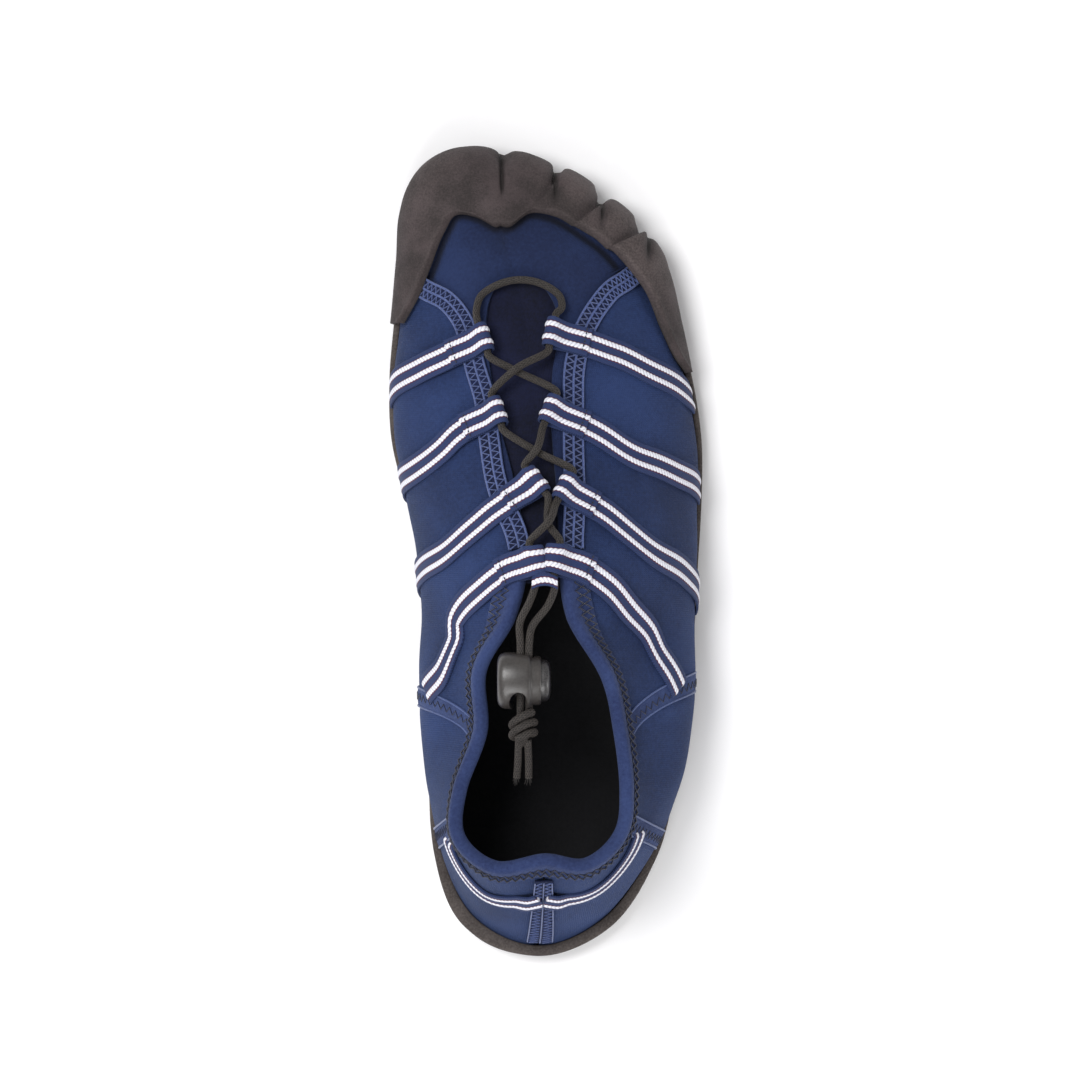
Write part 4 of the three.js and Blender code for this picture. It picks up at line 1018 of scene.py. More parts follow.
def ripple(w, v, size=0.16):
    """Slight unevenness of stretched cloth."""
    x, y = np.asarray(w) * CLOTH_RISE, np.asarray(v) * CLOTH_LENGTH
    waves = np.sin(x / 5.1 + y / 9.3) + 0.7 * np.sin(x / 8.7 - y / 6.1 + 1.3) + 0.5 * np.sin(y / 3.7 + x / 13)
    return size * waves


def cloth_map(w, v):
    return np.stack(np.broadcast_arrays(np.asarray(v) * CLOTH_LENGTH, (1 - np.abs(w)) * CLOTH_RISE), axis=-1)


def cloth_sheet(name, w, v, offset, shade=None):
    w, v = np.broadcast_arrays(w, v)
    return grid_sheet(name, lifted(w, v, offset), cloth_map(w, v), skin_normal(w, v), shade)


SEWN_DEPTH, SEWN_REACH = 0.55, 2.4


def sewn_down(rows, columns, row_length, column_length):
    """How far a panel is pulled in along the seams at its front, rear and top."""
    down = np.linspace(0, row_length, rows)[:, None]
    over = np.linspace(0, column_length, columns)[None, :]
    pulls = [down + 0 * over, row_length - down + 0 * over, column_length - over + 0 * down]
    return -SEWN_DEPTH * sum(np.exp(-((pull / SEWN_REACH) ** 2)) for pull in pulls)


# places on the toe cap are [v, height], with v below zero on the medial side
CAP_TOP = [
    (-0.272, 0.31), (-0.255, 0.37), (-0.236, 0.423), (-0.205, 0.478), (-0.174, 0.527), (-0.137, 0.582),
    (-0.1, 0.63), (-0.073, 0.757), (-0.044, 0.9), (0, 0.93), (0.03, 0.92), (0.064, 0.861), (0.089, 0.689),
    (0.124, 0.586), (0.163, 0.531), (0.192, 0.484), (0.222, 0.446), (0.248, 0.4), (0.287, 0.36),
    (0.32, 0.29), (0.335, 0.2),
]


def beside_cap(points):
    """How far points lie from the upper edge of the toe cap, in millimetres."""
    signed, high = drawn_line(CAP_TOP).T
    edge = lifted(np.where(signed < 0, -1.0, 1.0) * (1 - high), np.abs(signed), KNIT)
    apart = points.reshape(-1, 1, 3) - edge[None]
    return np.sqrt((apart ** 2).sum(axis=2)).min(axis=1).reshape(points.shape[:-1])


def make_vamp():
    throat = THROAT_EDGE["medial"][0][0]
    at_throat = [throat, 0.1834, 0.184, 0.1845, 0.186, 0.188, 0.191, 0.194, 0.198, 0.203]
    stations = np.unique(np.round(np.concatenate([np.linspace(0, 0.525, 190), at_throat]), 5))
    halves = []
    for name, side in SIDE.items():
        low = read(SEAMS[name], stations)
        low[stations < SEAMS[name][0][0]] = 0
        high = 1 - np.where(stations <= throat, 0, read(THROAT_EDGE[name], stations))
        share = np.linspace(0, 1, 58)
        h = low[:, None] + (high - low)[:, None] * share
        w = side * (1 - h)
        v = np.broadcast_to(stations[:, None], w.shape)
        to_seam = (h - low[:, None]) * CLOTH_RISE + 20 * (stations[:, None] < 0.2)
        to_throat = (high[:, None] - h) * CLOTH_RISE + 20 * (stations[:, None] < 0.18)
        dip = -0.5 * (np.exp(-((to_seam / 2.4) ** 2)) + np.exp(-((to_throat / 1.6) ** 2)))
        calm = smoothstep(v, 0.16, 0.26)
        offset = KNIT + dip + ripple(w, v, 0.1) * calm
        beside = beside_cap(lifted(w, v, KNIT))
        pressed = 0.8 * np.exp(-((beside / 1.8) ** 2))
        # painted shade: 'shade' makes the knit darker in a band beside the toe cap's upper edge
        shade = 0.9 * np.exp(-((beside / 1.5) ** 4))
        halves.append(cloth_sheet("vamp_half", w, v, offset - pressed, shade))
    vamp = merged("vamp_panel", halves)
    thickened(vamp, PANEL_CLOTH, 0.25, lining=1)
    return finished(vamp, [DARK_NAVY, LINING], "shoe", ["vamp"])


def straight(start, end):
    return lambda share: np.array(start) + (np.array(end) - np.array(start)) * np.asarray(share)[..., None]


def make_panel(name, side, front, rear, top, columns, node):
    """A panel on a straight foot. Its front and rear run upward, and its top runs toe to heel."""
    edges = {
        "low": straight(front[0], rear[0]),
        "high": top,
        "front": Line(front, CLOTH_SCALE),
        "rear": Line(rear, CLOTH_SCALE),
    }
    rows = 64
    s = np.linspace(0, 1, columns)[:, None]
    t = np.linspace(0, 1, rows)[None, :]
    low, high = edges["low"](s[:, 0])[:, None], edges["high"](s[:, 0])[:, None]
    front, rear = edges["front"](t[0])[None], edges["rear"](t[0])[None]
    s, t = s[..., None], t[..., None]
    corners = (1 - s) * (1 - t) * low[0, 0] + s * (1 - t) * low[-1, 0]
    corners = corners + (1 - s) * t * high[0, 0] + s * t * high[-1, 0]
    place = (1 - t) * low + t * high + (1 - s) * front + s * rear - corners
    v, h = np.minimum(place[..., 0], 1), place[..., 1]
    w = SIDE[side] * np.maximum(1 - h, 0.001)
    steps = [np.linalg.norm(np.diff(skin(w, v), axis=axis), axis=-1) for axis in (0, 1)]
    lengths = [step.sum(axis=axis).mean() for axis, step in enumerate(steps)]
    dip = sewn_down(columns, rows, *lengths)
    obj = cloth_sheet(name, w, v, KNIT + dip + ripple(w, v))
    thickened(obj, PANEL_CLOTH, 0.25, lining=1)
    return finished(obj, [NAVY, LINING], "shoe", [node])


def make_quarter(side):
    along, up = SEAM_GAP / CLOTH_LENGTH, SEAM_GAP / CLOTH_RISE
    seam, corner = SEAMS[side], 5
    front = [(v + along, h * (1 - up)) for v, h in seam[:corner + 1]]
    top = [front[corner], *((v, h - up) for v, h in seam[corner + 1:])]
    ankle = ANKLE_FRONT[side]
    top += [(0.56, 0.925), (0.6, 0.975), (0.64, PANEL_TOP), ankle[-1]]
    return make_panel(
        f"quarter_{side}_panel", side, front, ankle, Line(top, CLOTH_SCALE), 170, f"quarter_{side}"
    )


def make_side_panel(name, side, front, rear, columns, node):
    front = [(v + SEAM_GAP / CLOTH_LENGTH, h) for v, h in front]
    return make_panel(name, side, front, rear, straight(front[-1], rear[-1]), columns, node)


def make_gusset():
    stations = np.linspace(0.172, 0.56, 130)
    overlap, least = 0.045, 0.07
    rows = []
    for v in stations:
        low = -max(read(THROAT_EDGE["medial"], v) + overlap, least)
        high = max(read(THROAT_EDGE["lateral"], v) + overlap, least)
        rows.append(np.concatenate([np.linspace(low, -0.001, 20), np.linspace(0.001, high, 20)]))
    w = np.array(rows)
    v = np.broadcast_to(stations[:, None], w.shape)
    sag = -0.5 * np.exp(-((w / 0.06) ** 2)) * smoothstep(v, 0.2, 0.28)
    gather = 0.25 * np.sin(v * CLOTH_LENGTH / 2.1 + 14 * w) * np.exp(-((w / 0.1) ** 2))
    gather = gather * smoothstep(v, 0.25, 0.4)
    obj = cloth_sheet("throat_gusset_cloth", w, v, -FIT - 0.1 + sag + gather)
    thickened(obj, 1.0, 0.2)
    return finished(obj, [GUSSET_CLOTH], "shoe", ["throat_gusset"])


# ---- collar binding: a folded tape, plump at the fold and sewn down with a zigzag ----
def binding_frame(side, v):
    top = float(np.interp(v, *zip(*COLLAR_EDGE)))
    rise = np.linalg.norm(skin(side * (1 - top + 0.02), v) - skin(side * (1 - top), v)) / 0.02

    def below(drop):
        return side * (1 - top + drop / rise)

    edge = skin(below(0), v)
    normal = skin_normal(below(0), v)
    up = edge - skin(below(3), v)
    return below, edge, normal, unit(up - normal * np.dot(up, normal))


BINDING_OUT = KNIT + 1.5 * FIT + TRIM
BINDING_START = 0.538
BINDING_GIRTH = 18


def binding_stations(count=130):
    v = BINDING_START + (1 - BINDING_START) * np.linspace(0, 1, count)
    return [(-1.0, one) for one in v] + [(1.0, one) for one in v[:-1][::-1]]


def make_binding():
    share = np.linspace(0, 1, 34)
    rings, outward = [], []
    for side, v in binding_stations():
        below, edge, normal, up = binding_frame(side, v)
        profile = [
            lifted(below(BINDING_DROP), v, BINDING_OUT - 0.15),
            lifted(below(BINDING_DROP * 0.86), v, BINDING_OUT + 0.05),
            lifted(below(BINDING_DROP * 0.62), v, BINDING_OUT - 0.2),
            lifted(below(BINDING_DROP * 0.36), v, BINDING_OUT + 0.2),
            lifted(below(1.2), v, BINDING_OUT + 0.45),
            edge + normal * (BINDING_OUT + 0.1) + up * 0.75,
            edge + normal * (KNIT / 2 + 0.2) + up * 1.5,
            edge - normal * 0.75 + up * 0.75,
            lifted(below(1.2), v, -1.3),
            lifted(below(BINDING_DROP * 0.36), v, -1.15),
            lifted(below(BINDING_DROP * 0.62), v, -1.1),
        ]
        rings.append(Line(profile)(share))
        outward.append(rings[-1] - (edge + normal * KNIT / 2 - up * 2))
    rings, outward = np.array(rings), np.array(outward)
    uv = flat_map(distance_along(rings[:, len(share) // 2 - 3]), np.linspace(0, BINDING_GIRTH, len(share)))
    obj = grid_sheet("collar_binding_tape", rings, uv, outward)
    thickened(obj, 0.5, 0.12)
    return finished(obj, [BAND], "shoe", ["collar_binding"])


def make_binding_stitches():
    """Two rows of zigzag stitching round the binding, with a stitch for each 1.4 mm."""
    spots = binding_stations(170)
    reach, lift, pitch = 1.1, 0.22, 1.4
    paths = []
    for drop in (BINDING_DROP * 0.46, BINDING_DROP * 0.78):
        lines = []
        for edge in (-reach, reach):
            lines.append(np.array([
                lifted(binding_frame(side, v)[0](drop + edge), v, BINDING_OUT + lift) for side, v in spots
            ]))
        run = distance_along(lines[0])
        count = int(run[-1] / pitch)
        at = np.linspace(0, run[-1], count)
        edges = [np.stack([np.interp(at, run, column) for column in line.T], axis=-1) for line in lines]
        paths.append(np.array([edges[k % 2][k] for k in range(count)]))
    obj = threads("collar_binding_stitches", paths, 0.36)
    return finished(obj, [DARK_THREAD], "shoe")


# ---- seam tapes: a band with a flat lockstitch, two zigzags between three straight rows ----
def tape_band(name, line, low, material):
    length = run_length(line)
    share = np.linspace(0, 1, max(8, int(length / 0.9)))
    across = np.linspace(-TAPE_WIDTH / 2, TAPE_WIDTH / 2, 17)
    w, v = beside_run(line, share, across)
    crown = 0.18 * (1 - (2 * across / TAPE_WIDTH) ** 2)
    crown -= 0.12 * np.exp(-((np.abs(across) - TAPE_WIDTH / 2) / 0.7) ** 2)
    points = lifted(w, v, low + TRIM + crown)
    obj = grid_sheet(f"{name}_band", points, flat_map(share * length, across), skin_normal(w, v))
    thickened(obj, TRIM, 0.1)
    return finished(obj, [material], "shoe", [name])


def seam_threads(name, line, lift, rows, zigzags, radius, material):
    """Straight rows and zigzags of thread beside a run; zigzags are (middle, reach, pitch)."""
    length = run_length(line)
    paths = []
    for across in rows:
        share = np.linspace(0, 1, max(6, int(length / 1.2)))
        w, v = beside_run(line, share, [across])
        paths.append(lifted(w, v, lift)[:, 0])
    for middle, reach, pitch in zigzags:
        count = max(6, int(2 * length / pitch))
        w, v = beside_run(line, np.linspace(0, 1, count), [middle - reach, middle + reach])
        sides = lifted(w, v, lift + 0.1)
        paths.append(np.array([sides[k, k % 2] for k in range(count)]))
    obj = threads(name, paths, radius)
    return finished(obj, [material], "shoe")


TAPE_LINES = {
    f"tape_{side}_vamp": run_line([(SIDE[side] * (1 - h), v) for v, h in SEAMS[side][2:]]) for side in SIDE
}
for side, sign in SIDE.items():
    for place, seam in (("front", ANKLE_FRONT[side]), ("rear", ANKLE_REAR)):
        spots = Line(seam, CLOTH_SCALE)(np.linspace(0.1, 0.9, 9))
        TAPE_LINES[f"tape_{side}_{place}"] = run_line([(sign * (1 - h), v) for v, h in spots])
VAMP_TAPE_LOW = KNIT + FIT - 0.1
ANKLE_TAPE_LOW = KNIT - 0.4
EDGE_ROW = 3.1


def make_tapes():
    for name, line in TAPE_LINES.items():
        if name.endswith("vamp"):
            tape_band(name, line, VAMP_TAPE_LOW, SEAM_BAND)
            rows, zigzags = (-EDGE_ROW, 0.0, EDGE_ROW), ((-1.6, 1.15, 2.3), (1.6, 1.15, 2.3))
            lift = VAMP_TAPE_LOW + TRIM + 0.2
            seam_threads(f"{name}_threads", line, lift, rows, zigzags, 0.42, PALE_THREAD)
        else:
            tape_band(name, line, ANKLE_TAPE_LOW, BAND)
            lift = ANKLE_TAPE_LOW + TRIM + 0.08
            seam_threads(f"{name}_threads", line, lift, (-EDGE_ROW, EDGE_ROW), (), 0.34, EDGE_THREAD)
            seam_threads(f"{name}_zigzags", line, lift, (), ((0.3, 1.1, 3.0),), 0.26, DARK_THREAD)


def make_back_seam():
    half = 0.013
    h = np.linspace(0.2, 0.84, 60)[:, None]
    reach = np.linspace(-half, half, 15)[None, :]
    side = np.where(reach <= 0, -1, 1)
    w, v = side * (1 - h), 1 - np.abs(reach)
    w, v = np.broadcast_arrays(w, v)
    face = VAMP_TAPE_LOW + TRIM
    crown = 0.2 * (1 - (reach / half) ** 2)
    obj = grid_sheet("back_seam_band", lifted(w, v, face + crown), cloth_map(w, v), skin_normal(w, v))
    thickened(obj, TRIM, 0.1)
    finished(obj, [SEAM_BAND], "shoe", ["tape_back"])
    paths = []
    for middle in (-0.0065, 0.0065):
        rows = np.linspace(0.21, 0.83, 42)
        places = [middle + (0.004 if k % 2 else -0.004) for k in range(len(rows))]
        paths.append(np.array([
            lifted(-(1 - r) if p <= 0 else 1 - r, 1 - abs(p), face + 0.35) for r, p in zip(rows, places)
        ]))
    for across in (-0.012, 0.0, 0.012):
        rows = np.linspace(0.21, 0.83, 36)
        side_w = -1 if across <= 0 else 1
        paths.append(lifted(side_w * (1 - rows), 1 - abs(across) + 0 * rows, face + 0.3))
    finished(threads("back_seam_threads", paths, 0.24), [PALE_THREAD], "shoe")


# ---- webbing ----
def stripe_relief(along, across):
    stripe = np.clip(1 - ((np.abs(across) - STRIPE_MIDDLE) / STRIPE_HALF) ** 2, 0, 1) ** 0.5
    slant = np.abs(np.sin(math.pi * (along / CORD_TWIST + across / TWIST_LEAN))) ** 0.6
    return 0.34 * stripe * (0.55 + 0.45 * slant) - 0.12 * np.clip((np.abs(across) - 4.6) / 0.4, 0, 1)


def woven_tape(node, middle, facing):
    """Woven tape with both faces, across its middle surface (rows along, columns across)."""
    along = distance_along(middle[:, middle.shape[1] // 2])
    across = np.linspace(-STRAP_WIDTH / 2, STRAP_WIDTH / 2, middle.shape[1])
    run, place = np.broadcast_arrays(np.asarray(along)[:, None], across[None, :])
    half = (STRAP / 2 - 0.06 + stripe_relief(run, place))[..., None]
    front = middle + facing * half
    back = middle - facing * half
    ring = np.concatenate([front, back[:, ::-1], front[:, :1]], axis=1)
    outward = np.concatenate([facing, -facing[:, ::-1], facing[:, :1]], axis=1)
    map_across = np.concatenate([place, place[:, ::-1], place[:, :1]], axis=1)
    map_along = np.broadcast_to(np.asarray(along)[:, None], map_across.shape)
    obj = closed(grid_sheet(f"{node}_tape", ring, np.stack([map_along, map_across], axis=-1), outward))
    return finished(obj, [WEBBING], "shoe", [node], 60)


def make_strap(name):
    """Laid flat from the sole, lifted over the seam tape, round the lace and stitched back on itself."""
    line = STRAP_LINES[name]
    tucked = name.endswith("4")
    length = run_length(line)
    across = np.linspace(-STRAP_WIDTH / 2, STRAP_WIDTH / 2, 27)
    share = np.linspace(0, 1 - 2.5 / length, int(length / 0.42))
    calm = 1 - smoothstep(share * length, length - 22, length - 13)
    phase = sum(map(ord, name))
    at = share * length
    wobble = calm * (0.26 * np.sin(at / 6.3 + phase) + 0.16 * np.sin(at / 3.1 + phase))
    w, v = beside_run(line, share, across)
    shift_w, shift_v = beside_run(line, share, [0.0])
    moved_w, moved_v = beside_run(line, share, [1.0])
    w = w + wobble[:, None] * (moved_w - shift_w)
    v = v + wobble[:, None] * (moved_v - shift_v)
    to_loop = length * (1 - share)
    rise = np.interp(to_loop, [0, 10, 14, 27, 300], [1, 1, 0.9, 0, 0])
    rise = np.convolve(np.pad(rise, 12, mode="edge"), np.ones(25) / 25, mode="valid")
    low = FLAT_ON_KNIT + (STRAP_LOW - FLAT_ON_KNIT) * rise
    if tucked:
        low = low - SEWN_INTO_KNIT * (1 - smoothstep(share * length, 0.0, 2.6))
    rows = [lifted(w, v, low[:, None] + STRAP / 2 + 0 * w)]
    facing = [-skin_normal(w, v)]
    centre, forward, normal, beside = tunnel_of(name)
    stretch = 1.8 if tucked else 1.0
    for angle in np.radians(np.linspace(-78, 78, 15)):
        out = forward * math.cos(angle) + normal * math.sin(angle)
        reach = forward * math.cos(angle) * stretch + normal * math.sin(angle)
        rows.append((centre + across[:, None] * beside + reach * (TUNNEL_RADIUS + STRAP / 2))[None])
        facing.append(np.broadcast_to(out, (1, len(across), 3)))
    folded = STRAP_LOW + STRAP + 0.04 + STRAP / 2
    loop_top = TUNNEL_HEIGHT + TUNNEL_RADIUS + STRAP / 2
    drop = Line([(0.6, loop_top - folded), (2.4, 1.6), (4.2, 0.4), (7, 0.02), (STITCH_BACK, 0)])
    steps = drop(np.linspace(0.03, 1, 27))
    w, v = beside_run(line, 1 - steps[:, 0] / length, across)
    rows.append(lifted(w, v, folded + steps[:, 1:] + 0 * w))
    facing.append(skin_normal(w, v))
    middle, facing = np.concatenate(rows), np.concatenate(facing)
    woven_tape(name, middle, facing)
    w, v = beside_run(line, np.full(1, 1 - (STITCH_BACK - 1.6) / length), np.linspace(-4.6, 4.6, 13))
    rail = lifted(w[0], v[0], folded + STRAP / 2 + 0.25)
    stitches = [rail[k:k + 2] for k in range(0, 12, 2)]
    finished(threads(f"{name}_stitches", stitches, 0.22), [DARK_THREAD], "shoe")


def make_heel_webbing(side):
    places = {
        "medial": [
            (-0.3, 0.858), (-0.36, 0.885), (-0.39, 0.91), (-0.4, 0.94), (-0.36, 0.97), (-0.31, 0.9988),
        ],
        "lateral": [(0.28, 0.848), (0.33, 0.88), (0.36, 0.93), (0.35, 0.968), (0.31, 0.9988)],
    }[side]
    line = run_line(places)
    share = np.linspace(0, 1, int(run_length(line) / 0.42))
    w, v = beside_run(line, share, np.linspace(-STRAP_WIDTH / 2, STRAP_WIDTH / 2, 27))
    v = np.minimum(v, 0.9992)
    over_seam = smoothstep(v, 0.966, 0.984)
    tucked = 1 - smoothstep(share * run_length(line), 0.0, 2.6)[:, None]
    low = FLAT_ON_KNIT + (STRAP_LOW - FLAT_ON_KNIT) * over_seam - SEWN_INTO_KNIT * tucked
    return woven_tape(f"heel_webbing_{side}", lifted(w, v, low + STRAP / 2), skin_normal(w, v))


def make_keeper():
    x = np.linspace(-4.3, 4.3, 40)
    across = np.linspace(-2.1, 2.1, 17)
    bow = 0.07 * x[:, None] ** 2
    middle = np.stack(np.broadcast_arrays(
        x[:, None], -9.6 + across[None, :] - bow, 75.9 - bow - 0.16 * across[None, :] ** 2,
    ), axis=-1)
    facing = np.broadcast_to(np.array([0.0, 0, 1]), middle.shape)
    ring = [middle + facing * 0.5, (middle - facing * 0.5)[:, ::-1]]
    ring = np.concatenate([*ring, ring[0][:, :1]], axis=1)
    outward = np.concatenate([facing, -facing, facing[:, :1]], axis=1)
    place = np.concatenate([across, across[::-1], across[:1]]) + STRIPE_MIDDLE + 0.1
    obj = rounded_edges(closed(grid_sheet("lace_keeper_tape", ring, flat_map(x, place), outward)), 0.25, 3)
    return finished(obj, [WEBBING], "shoe", ["lace_keeper"])


# ---- the threaded lace ----
def over_upper(x, y, height):
    return lifted(*under(x, y), height)


def through_loop(name):
    centre, _, _, beside = tunnel_of(name)
    within, beyond = STRAP_WIDTH / 2 - 0.4, STRAP_WIDTH / 2 + 1.8
    ends = [centre + beside * distance for distance in (-beyond, -within, within, beyond)]
    return ends if ends[0][1] > ends[3][1] else ends[::-1]


def make_lace():
    left = [
        over_upper(-8.6, 58.3, 4.7), *through_loop("webbing_lateral_2"), over_upper(-2.4, 31.2, 8),
        *through_loop("webbing_medial_3"), over_upper(0.9, 7.4, 4.9), *through_loop("webbing_lateral_4"),
    ]
    right = [
        over_upper(-8.6, 58.3, 8.2), *through_loop("webbing_medial_2"), over_upper(-2.4, 31.2, 4.6),
        *through_loop("webbing_lateral_3"), over_upper(1.3, 7, 8.3), *through_loop("webbing_medial_4"),
    ]
    arc = [over_upper(*spot) for spot in (
        (-21.6, 79.6, 5.2), (-20.4, 85, 4.2), (-14.8, 89, 3.8), (-8, 90.4, 3.8), (-1, 88.8, 3.8),
        (4.4, 84.6, 4.2), (5, 80.2, 5.2),
    )]
    first_medial, first_lateral = through_loop("webbing_medial_1")[::-1], through_loop("webbing_lateral_1")
    line = Line([*left[::-1], *first_medial, *arc, *first_lateral, *right])
    path = line(np.linspace(0, 1, int(line.length / 0.55)))
    return finished(tube("threaded_lace", path, LACE / 2, 20), [CORD], "shoe", ["lace"])


# ---- toe cap ----
TOES = [
    (-0.272, 0), (-0.2, 0.2), (-0.14, 1.1), (-0.1, 1.8), (-0.06, 1.9), (-0.018, 0.8), (0.006, -0.4),
    (0.021, -1.4), (0.034, 0.6), (0.052, 1.6), (0.073, 1.9), (0.088, 0.6), (0.101, 3.4), (0.117, 3.6),
    (0.132, 1.9), (0.145, 0.4), (0.156, 3.9), (0.17, 4.1), (0.183, 2.7), (0.193, 1.5), (0.203, 4.6),
    (0.217, 4.4), (0.235, 3.3), (0.252, 2.3), (0.27, 1.1), (0.29, 0.2), (0.335, -0.6),
]
CREASES = [(-14.2, 120), (3.4, 118), (18.6, 109), (32.9, 97)]  # plan x, and how far back each runs
CAP_END = {-1.0: 0.272, 1.0: 0.335}
CAP_FOOT = 0.07


def outward_of(around):
    step = 0.004
    along = on_loop(FEATHER, around + step) - on_loop(FEATHER, around - step)
    return unit(np.stack([along[..., 1], -along[..., 0], 0 * along[..., 0]], axis=-1))


def edge_point(side, v, offset, height):
    around = around_at(side, v)
    point = on_loop(FEATHER, around) + outward_of(around) * np.asarray(offset, float)[..., None]
    point[..., 2] = height + lift_of_toe(point[..., 1])
    return point


def make_toe_cap():
    inner = KNIT + CAP_GAP
    signed = np.linspace(-CAP_END[-1.0], CAP_END[1.0], 420)
    side = np.where(signed < 0, -1.0, 1.0)
    v = np.abs(signed)
    high, bulge = read(CAP_TOP, signed), read(TOES, signed)
    rows, relief = [], []
    for height, share in ((0.35, 0.82), (1.2, 0.97), (2.4, 1.0), (3.6, 1.0)):
        rows.append(edge_point(side, v, inner + (CAP_THICKNESS + 0.5 * bulge) * share, height))
        relief.append(0.45 + 0 * v)
    for k in np.linspace(0, 1, 62):
        h = CAP_FOOT + (high - CAP_FOOT) * k
        low_down = 1 - smoothstep(h, 0.3, 0.66)
        spot = lifted(side * (1 - h), v, inner + CAP_THICKNESS)
        crease = 0 * v
        for x, back in CREASES:
            aside = spot[:, 0] - x
            narrow = np.exp(-np.abs(aside / 0.8) ** 1.7) + 0.3 * np.exp(-(aside / 2.6) ** 2)
            crease = crease + narrow * smoothstep(spot[:, 1], back - 3.0, back + 5.0)
        rounding = 1.9 * smoothstep(k, 1 - 1.7 / ((high - CAP_FOOT) * CLOTH_RISE), 1.0)
        roll = 0.35 * np.exp(-(((1 - k) * (high - CAP_FOOT) * CLOTH_RISE - 2.2) / 1.6) ** 2)
        thinning = 0.35 * smoothstep(h, 0.3, 0.9)
        out = inner + CAP_THICKNESS + bulge * low_down - thinning - rounding + roll - 1.5 * crease
        rows.append(lifted(side * (1 - h), v, out))
        # painted shade and highlight: the cap's 'relief' is higher on the toe bulges and the rolled lip and lower
        # in the creases and over the rounded upper edge, and the finish paints it lighter and darker
        lobe = np.clip(0.5 + 0.1 * bulge * low_down, 0, 1)
        shade = (lobe * (1 - crease) + 0.25 * roll) * (1 - 0.9 * (rounding / 1.9) ** 2)
        relief.append(np.clip(shade, 0, 1))
    points = np.array(rows).transpose(1, 0, 2)
    tone = np.array(relief).T
    uv = flat_map(signed * CLOTH_LENGTH, np.linspace(0, 40, points.shape[1]))
    obj = grid_sheet("toe_cap_rubber", points, uv, points - np.array([0, 60.0, 15.0]), tone)
    thickened(obj, 1.5, 0.35)
    return finished(obj, [CAP_RUBBER], "shoe", ["toe_cap"])


# ---- sole ----
HEEL_FLARE = {-1.0: 2.1, 1.0: 1.2}  # the sole stands out more at the medial side of the heel
RIM_FULLEST = 2.35
RIM_PROFILE = [  # share of the rim's height, and how far it stands out
    (0.35, 0.0), (0.7, 0.0), (0.97, 0.0), (1.0, 0.35), (1.02, 1.1), (0.99, 1.8), (0.9, 2.2),
    (0.75, RIM_FULLEST), (0.55, RIM_FULLEST), (0.35, 2.3), (0.15, 2.25),
]
GROOVE_WIDTH, GROOVE_HEIGHT, GROOVE_PITCH = 2.2, 2.4, 16


def spine_point(v, height):
    point = (on_loop(TOP, around_at(-1, v)) + on_loop(TOP, around_at(1, v))) / 2
    point[..., 2] = height + lift_of_toe(point[..., 1])
    return point


def towards_spine(point, v, share):
    moved = point + (spine_point(v, 0) - point) * share
    moved[..., 2] = point[..., 2] - lift_of_toe(point[..., 1]) + lift_of_toe(moved[..., 1])
    return moved


def sole_section(side, v):
    """The sole's section at each station, from the middle of its top round the edge to the underside."""
    with_rim = v > CAP_END[side] - 0.004
    rim_share = smoothstep(v, CAP_END[side] - 0.005, CAP_END[side] - 0.001) * with_rim
    inner = KNIT + FIT
    flare = HEEL_FLARE[side] * smoothstep(v, 0.84, 0.93) + (1 - HEEL_FLARE[side]) * smoothstep(v, 0.95, 1.0)
    edge_top = edge_point(side, v, KNIT + FIT * rim_share, SOLE)
    edge_low = edge_point(side, v, KNIT + (FIT + RIM - 0.9 + flare) * rim_share, 0.0)
    edge_side = edge_point(side, v, KNIT + (FIT + RIM - 0.15 + flare) * rim_share, 0.9)
    rows = [spine_point(v, SOLE)]
    rows += [towards_spine(edge_top, v, share) for share in (0.75, 0.5, 0.25, 0.08)] + [edge_top]
    for share, offset in RIM_PROFILE:
        wall = lifted(side * (1 - RIM_RISE * share), v, inner + offset * (1 + flare / RIM_FULLEST))
        rows.append(np.where(with_rim[:, None], wall, edge_top + (edge_side - edge_top) * 0.5))
    rows += [edge_side, edge_low]
    rows += [towards_spine(edge_low, v, share) for share in (0.04, 0.12, 0.25, 0.5, 0.75)]
    rows += [spine_point(v, 0.0)]
    return np.array(rows).transpose(1, 0, 2)


def make_outsole():
    at_cap_ends = [0.267, 0.269, 0.271, 0.33, 0.332, 0.334]
    v = np.unique(np.concatenate([np.linspace(0, 1, 260), at_cap_ends]))
    halves = []
    for side in (-1.0, 1.0):
        points = sole_section(side, v)
        relief = np.full(points.shape[:2], 0.45)
        # the rim's top and outer bulge get a higher 'relief', so the finish paints them lighter in patches:
        # scuffing and painted highlight
        relief[:, 9:14] = 0.75
        centre = (points[:, :1] + points[:, -1:]) / 2
        halves.append(grid_sheet("sole_half", points, points[..., :2], points - centre, relief))
    sole = facing_out(merged("outsole_rubber", halves, 0.05))
    cutters = []
    for k in range(11):
        bpy.ops.object.select_all(action="DESELECT")
        bpy.ops.mesh.primitive_cube_add(size=1, location=in_frame((0, -112 + GROOVE_PITCH * k, 0)))
        cutter = bpy.context.active_object
        cutter.scale = (0.2, GROOVE_WIDTH * MM, GROOVE_HEIGHT * MM)
        bpy.ops.object.transform_apply(location=True, rotation=True, scale=True)
        cutters.append(cutter)
    carved(sole, *cutters, solver="FAST")
    return finished(sole, [SOLE_RUBBER], "shoe", ["outsole"], 40)


